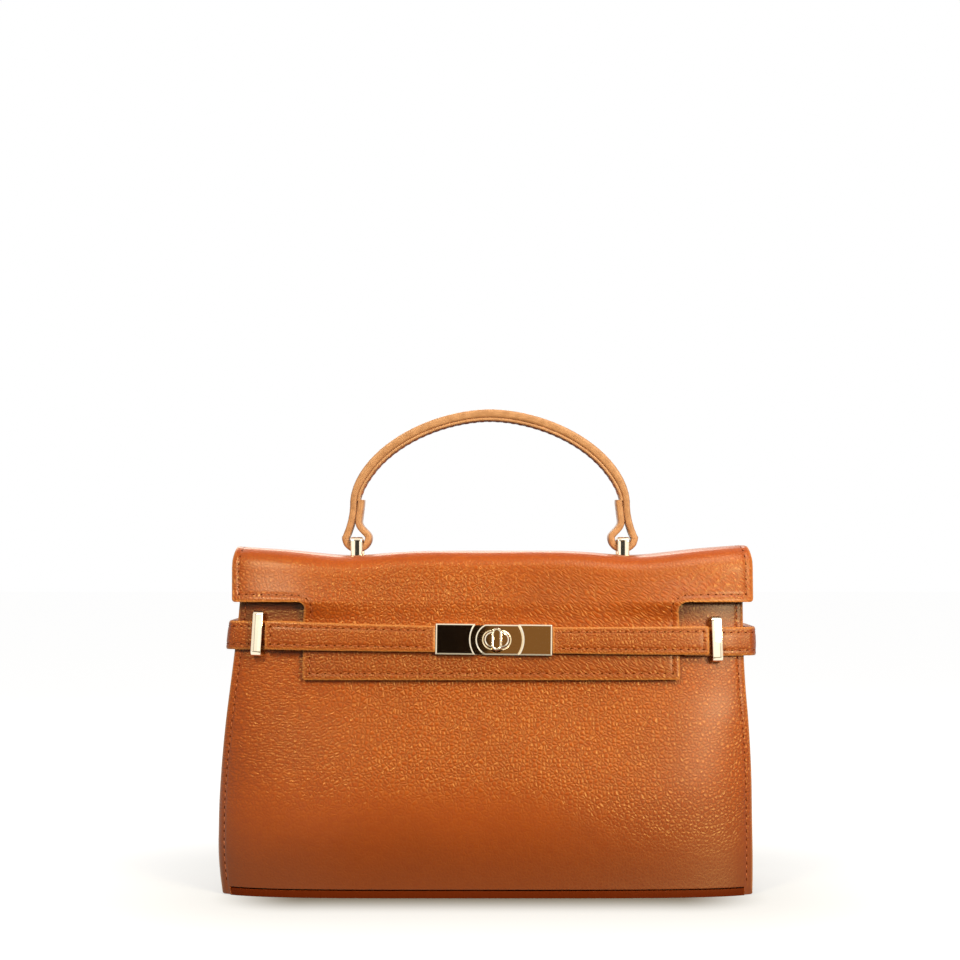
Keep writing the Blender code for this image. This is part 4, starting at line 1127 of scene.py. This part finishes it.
metalCut = {"joined": 2e-6, "flatTurn": 0.5, "level": 0.1 * mm, "sharpTurn": 40, "fine": 0.3 * mm}


def roundSpot(vert):
    return tuple(round(c / (0.001 * mm)) for c in vert.co)


def metalCopy(node, name, body, rimLevels, rimWide, rimDeep):
    # a copy of a plated solid, joined up: its front faces get a broad flat rim, the other edges a fine one
    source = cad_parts[node]
    mesh = bmesh.new()
    mesh.from_mesh(source.data)
    bmesh.ops.transform(mesh, matrix=source.matrix_world, verts=mesh.verts)
    bmesh.ops.remove_doubles(mesh, verts=mesh.verts, dist=metalCut["joined"])
    bmesh.ops.dissolve_limit(mesh, angle_limit=math.radians(metalCut["flatTurn"]), verts=mesh.verts,
                             edges=mesh.edges)
    lock = strapFrame(strapCut["lockX"])
    out = lock.to_3x3().col[2].normalized()
    rimmed = set()
    for level in rimLevels:
        plane = lock @ Vector((0, 0, level))
        fronts = [face for face in mesh.faces if face.normal.dot(out) > 0.95
                  and abs((face.calc_center_median() - plane).dot(out)) < metalCut["level"]]
        spots = {roundSpot(vert) for face in fronts for vert in face.verts}
        bmesh.ops.inset_region(mesh, faces=fronts, thickness=rimWide, use_even_offset=True, use_boundary=True)
        for vert in mesh.verts:
            if roundSpot(vert) in spots:
                vert.co -= out * rimDeep
                rimmed.add(vert)
    mesh.normal_update()
    weights = mesh.edges.layers.float.new("bevel_weight_edge")
    for edge in mesh.edges:
        sharp = len(edge.link_faces) == 2 and edge.calc_face_angle() > math.radians(metalCut["sharpTurn"])
        if sharp and not rimmed.issuperset(edge.verts):
            edge[weights] = 1.0
    made = finishMesh(name, mesh, [goldPlatedZinc])
    for face in made.data.polygons:
        face.use_smooth = False  # ground flat, with flat rims
    roundEdges(made, metalCut["fine"], 1, metalCut["sharpTurn"]).limit_method = "WEIGHT"
    settle(made, "hardware", body, node)


metalCopy("clasp_plate_left", "leftClaspPlate", "left_strap", (6.6 * mm,), 0.65 * mm, 0.36 * mm)
metalCopy("clasp_plate_right", "rightClaspPlate", "right_strap", (6.6 * mm, 5.6 * mm), 0.65 * mm, 0.36 * mm)
metalCopy("lock_base", "lockPost", "body", (6.5 * mm,), 0.6 * mm, 0.34 * mm)

toggleShape = {"length": 11.2 * mm, "width": 5.2 * mm, "low": 6.8 * mm, "thickness": 2.4 * mm,
               "rim": 0.65 * mm, "wall": 0.15 * mm, "recess": 0.5 * mm, "round": 0.25 * mm}


def makeToggle():
    # an upright lozenge with round ends, its face sunk inside a rim
    mesh = bmesh.new()
    bmesh.ops.create_circle(mesh, cap_ends=True, segments=48, radius=toggleShape["width"] / 2)
    stretch = (toggleShape["length"] - toggleShape["width"]) / 2
    for vert in mesh.verts:
        if abs(vert.co.y) > 0.001 * mm:
            vert.co.y += math.copysign(stretch, vert.co.y)
    bmesh.ops.translate(mesh, verts=mesh.verts, vec=(0, 0, toggleShape["low"]))
    grown = bmesh.ops.extrude_face_region(mesh, geom=mesh.faces[:])["geom"]
    lifted = [part for part in grown if isinstance(part, bmesh.types.BMVert)]
    bmesh.ops.translate(mesh, verts=lifted, vec=(0, 0, toggleShape["thickness"]))
    cap = [part for part in grown if isinstance(part, bmesh.types.BMFace)]
    bmesh.ops.inset_region(mesh, faces=cap, thickness=toggleShape["rim"], use_even_offset=True)
    bmesh.ops.inset_region(mesh, faces=cap, thickness=toggleShape["wall"], depth=-toggleShape["recess"],
                           use_even_offset=True)
    bmesh.ops.transform(mesh, matrix=strapFrame(strapCut["lockX"]), verts=mesh.verts)
    bmesh.ops.recalc_face_normals(mesh, faces=mesh.faces)
    made = finishMesh("turnToggle", mesh, [goldPlatedZinc])
    roundEdges(made, toggleShape["round"], 3, 30).harden_normals = True
    return made


settle(makeToggle(), "hardware", "toggle", "lock_toggle")

loopShape = {"rise": 0.9 * mm, "height": 22.9 * mm, "width": 5.2 * mm, "metal": 1.4 * mm, "stand": 6.4 * mm,
             "foot": 5.0 * mm, "corner": 2.4 * mm, "round": 0.35 * mm}
stapleShape = {"width": 6.0 * mm, "metal": 1.8 * mm, "top": 179.4 * mm, "half": 9.9 * mm, "corner": 2.2 * mm,
               "plate": 1.2 * mm, "round": 0.6 * mm, "crown": 0.08 * mm}


def staplePath(half, floor, top, foot, corner):
    points = [(-half, floor + (top - corner - floor) * i / 6) for i in range(1, 6)]
    for cx, start in ((-half + corner, 180), (half - corner, 90)):
        for i in range(9):
            angle = math.radians(start - 90 * i / 8)
            points.append((cx + corner * math.cos(angle), top - corner + corner * math.sin(angle)))
    points += [(half, z) for x, z in points[4::-1]]
    bend = 0.3 * mm if foot else 0
    ends = [(-half + foot, floor), (-half + bend, floor)] if foot else []
    points = ends + [(-half, floor + bend)] + points + [(half, floor + bend)]
    return points + [(-x, z) for x, z in ends[::-1]]


sideways = Matrix.Rotation(math.pi / 2, 4, "Z")
for side, word in ((left, "left"), (right, "right")):
    lie = strapFrame(loopX(side)) @ Matrix.Translation((0, loopShape["rise"], 0)) @ sideways
    floor = -panelCut["thickness"] - bodyShape["gap"] - loopShape["metal"]
    path = staplePath(loopShape["height"] / 2, floor, loopShape["stand"], loopShape["foot"],
                      loopShape["corner"])
    section = roundedSection(loopShape["width"], loopShape["metal"], loopShape["round"], 3)
    settle(makeSweep(word + "StrapLoop", path, lie, section, [goldPlatedZinc]),
           "hardware", "body", "strap_loop_" + word)
    x = side * flapShape["eyeX"]
    floor = flapTopHeight(x) - flapShape["lift"] - stapleShape["plate"]
    path = staplePath(stapleShape["half"], floor, stapleShape["top"], 0, stapleShape["corner"])
    section = roundedSection(stapleShape["width"], stapleShape["metal"], stapleShape["round"], 3,
                             stapleShape["crown"])
    settle(makeSweep(word + "HandleStaple", path, Matrix.Translation((x, 0, 0)) @ sideways, section,
                     [goldPlatedZinc]), "hardware", "flap", "handle_staple_" + word)

for node in ("staple_plate_left", "staple_plate_right", "lock_backplate", "lock_stem"):
    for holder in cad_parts[node].material_slots:
        holder.material = goldPlatedZinc
print("metal made")


# Studio: a large soft box over the front, a small one on each side, a weak one behind

studioLights = {
    "keyLight": {"spot": (0.3, -0.42, 0.72), "target": (0.02, -0.03, 0.09), "size": (0.4, 0.3), "power": 2.9,
                 "colour": "#fff6e4"},
    "sheenLight": {"spot": (0.66, -0.99, 0.5), "target": (0.08, 0, 0.1), "size": (0.34, 0.26), "power": 12.0,
                   "colour": "#ffeebe"},
    "fillLight": {"spot": (-0.43, -0.86, 0.8), "target": (-0.08, 0, 0.14), "size": (0.22, 0.2), "power": 8.0,
                  "colour": "#ffeebe"},
    "backLight": {"spot": (-0.2, 0.8, 0.8), "target": (0, 0, 0.12), "size": (0.8, 0.5), "power": 5.0,
                  "colour": "#fff6ea"},
}
for name, plan in studioLights.items():
    data = bpy.data.lights.new(name, "AREA")
    data.shape = "RECTANGLE"
    data.size, data.size_y = plan["size"]
    data.energy = plan["power"]
    data.color = toLinear(plan["colour"])[:3]
    lamp = bpy.data.objects.new(name, data)
    bpy.context.scene.collection.objects.link(lamp)
    lamp.location = plan["spot"]
    aim = Vector(plan["target"]) - Vector(plan["spot"])
    lamp.rotation_euler = aim.to_track_quat("-Z", "Y").to_euler()

# along each direction from the bag: where a part of the room begins, where it is full, its brightness
roomTone = {"behind": (-0.1, 0.1), "diffuse": 0.2, "white": "#ffffff", "warm": "#fff8ee",
            "inner": (0.07, 0.12, 1.35), "outer": (0.5, 0.4, 1.0), "upper": (0.42, 0.32, 1.0),
            "farAside": (0.42, 0.52, 0.05), "farAbove": (0.5, 0.6, 0.05)}


def studioWorld():
    # white to the camera; metal sees a bright screen to each side of a dark room
    made = bpy.data.worlds.new("studioWorld")
    made.use_nodes = True
    tree = made.node_tree
    way = addNode(tree, coordNode, output="Generated")
    across, ahead, above = (addNode(tree, partsNode, {0: way}, i) for i in range(3))
    aside = addNode(tree, mathNode, {0: across}, operation="ABSOLUTE")
    start, end = roomTone["behind"]
    behind = addNode(tree, rangeNode, {0: ahead, 1: start, 2: end}, **eased)
    tone = 1.0
    for part, word in ((aside, "inner"), (aside, "outer"), (above, "upper")):
        start, end, level = roomTone[word]
        share = addNode(tree, rangeNode, {0: part, 1: start, 2: end, 4: level}, **eased)
        tone = addNode(tree, mathNode, {0: tone, 1: share}, operation="MULTIPLY")
    for part, word in ((aside, "farAside"), (above, "farAbove")):
        start, end, level = roomTone[word]
        rest = addNode(tree, rangeNode, {0: part, 1: start, 2: end, 3: level}, **eased)
        tone = addNode(tree, mathNode, {0: tone, 1: rest}, operation="MAXIMUM")
    tone = addNode(tree, mixNode, {0: behind, 2: tone, 3: 1.0})
    glossy = addNode(tree, pathNode, output="Is Glossy Ray")
    seen = addNode(tree, pathNode, output="Is Camera Ray")
    tone = addNode(tree, mixNode, {0: glossy, 2: roomTone["diffuse"], 3: tone})
    tone = addNode(tree, mixNode, {0: seen, 2: tone, 3: 1.0})
    colour = addNode(tree, mixNode, {0: seen, 6: roomTone["warm"], 7: roomTone["white"]}, **colours)
    fillInputs(tree, tree.nodes["Background"], {"Strength": tone, "Color": colour})
    return made


bpy.context.scene.world = studioWorld()

# near, close and closeTone fade the glow towards the bag: painted contact shadow; the mirror values: painted
# reflection
floorTone = {"halfWide": 92 * mm, "halfDeep": 50 * mm, "near": 0.02, "close": 50 * mm, "closeTone": 0.62,
             "far": 150 * mm, "farTone": 0.33, "paper": "#787878", "bounce": "#302e2c", "light": "#ffffff",
             "aside": -1.2, "mirrorFrom": 0.04, "mirrorTo": 0.14, "mirrorNear": 0.9, "mirrorFar": 0.06}


def paperSweep():
    # white to the camera, except near the bag, where the glow fades: a painted contact shadow over the real
    # one;
    # glossy rays see the paper glow near the bag and to its sides, a painted reflection for the metal
    made, tree, shader = newMaterial("paperSweep")
    spot = addNode(tree, coordNode, output="Object")
    footprint = (floorTone["halfWide"], floorTone["halfDeep"], 0)
    apart = addNode(tree, vectorNode, {0: spot}, operation="ABSOLUTE")
    apart = addNode(tree, vectorNode, {0: apart, 1: footprint}, operation="SUBTRACT")
    apart = addNode(tree, vectorNode, {0: apart, 1: (0, 0, 0)}, operation="MAXIMUM")
    away = addNode(tree, vectorNode, {0: apart}, "Value", operation="LENGTH")
    aside, ahead = (addNode(tree, partsNode, {0: apart}, i) for i in range(2))
    ahead = addNode(tree, mathNode, {0: aside, 1: floorTone["aside"], 2: ahead}, operation="MULTIPLY_ADD")
    # painted contact shadow: the camera glow fades towards the bag's footprint
    near = addNode(tree, rangeNode, {0: away, 1: 0.0, 2: floorTone["close"], 3: floorTone["near"],
                                     4: floorTone["closeTone"]}, **eased)
    far = addNode(tree, rangeNode, {0: away, 1: 0.0, 2: floorTone["far"], 4: floorTone["farTone"]})
    glowWithPaintedShadow = addNode(tree, mathNode, {0: near, 1: far}, operation="ADD")
    # painted reflection: glossy rays see the paper glow near the bag and to its sides
    paintedFloorReflection = addNode(tree, rangeNode, {0: ahead, 1: floorTone["mirrorFrom"], 2: floorTone["mirrorTo"],
                                         3: floorTone["mirrorNear"], 4: floorTone["mirrorFar"]})
    glossy, seen, bounced = (addNode(tree, pathNode, output=f"Is {word} Ray")
                             for word in ("Glossy", "Camera", "Diffuse"))
    shown = addNode(tree, mathNode, {0: glowWithPaintedShadow, 1: seen}, operation="MULTIPLY")
    strength = addNode(tree, mathNode, {0: paintedFloorReflection, 1: glossy, 2: shown}, operation="MULTIPLY_ADD")
    lit = addNode(tree, "ShaderNodeEmission", {"Color": floorTone["light"], "Strength": strength})
    paper = addNode(tree, mixNode, {0: bounced, 6: floorTone["paper"], 7: floorTone["bounce"]}, **colours)
    fillInputs(tree, shader, {"Base Color": paper, "Roughness": 0.9, "Specular IOR Level": 0.0})
    both = addNode(tree, "ShaderNodeAddShader", {0: shader.outputs[0], 1: lit})
    tree.links.new(both, tree.nodes["Material Output"].inputs["Surface"])
    return made


floorMesh = bmesh.new()
bmesh.ops.create_grid(floorMesh, x_segments=1, y_segments=1, size=6)
finishMesh("paperFloor", floorMesh, [paperSweep()])

# the card in front that the clasp plates mirror: black on the left, bronze on the right
cardShape = {"ahead": -1.5, "height": 0.525, "half": 0.16, "splitFrom": -0.004, "splitTo": 0.002,
             "bronze": "#825a30", "black": "#160e09"}


def bronzeCard():
    made, tree, shader = newMaterial("bronzeCard")
    across = addNode(tree, partsNode, {0: addNode(tree, coordNode, output="Object")}, 0)
    share = addNode(tree, rangeNode, {0: across, 1: cardShape["splitFrom"], 2: cardShape["splitTo"]})
    tone = addNode(tree, mixNode, {0: share, 6: cardShape["black"], 7: cardShape["bronze"]}, **colours)
    lit = addNode(tree, "ShaderNodeEmission", {"Color": tone, "Strength": 1.0})
    tree.links.new(lit, tree.nodes["Material Output"].inputs["Surface"])
    return made


cardMesh = bmesh.new()
bmesh.ops.create_grid(cardMesh, x_segments=1, y_segments=1, size=cardShape["half"])
cardSpot = Matrix.Translation((0, cardShape["ahead"], cardShape["height"]))
bmesh.ops.transform(cardMesh, verts=cardMesh.verts, matrix=cardSpot @ Matrix.Rotation(math.pi / 2, 4, "X"))
stageCard = finishMesh("stageCard", cardMesh, [bronzeCard()])
stageCard.visible_camera = stageCard.visible_diffuse = stageCard.visible_shadow = False

cameraView = {"spot": (0, -1.15, 0.180), "focal": 2210, "imageSide": 960, "axisColumn": 490, "axisRow": 536}
cameraData = bpy.data.cameras.new("camera")
camera = bpy.data.objects.new("camera", cameraData)
bpy.context.scene.collection.objects.link(camera)
camera.location = cameraView["spot"]
camera.rotation_euler = (math.pi / 2, 0, 0)
cameraData.sensor_width = 36
cameraData.lens = cameraView["focal"] / cameraView["imageSide"] * cameraData.sensor_width
cameraData.shift_x = (cameraView["imageSide"] / 2 - cameraView["axisColumn"]) / cameraView["imageSide"]
cameraData.shift_y = (cameraView["axisRow"] - cameraView["imageSide"] / 2) / cameraView["imageSide"]
cameraData.clip_start = 0.01
bpy.context.scene.camera = camera
bpy.context.scene.view_settings.view_transform = "Standard"
print("studio made")
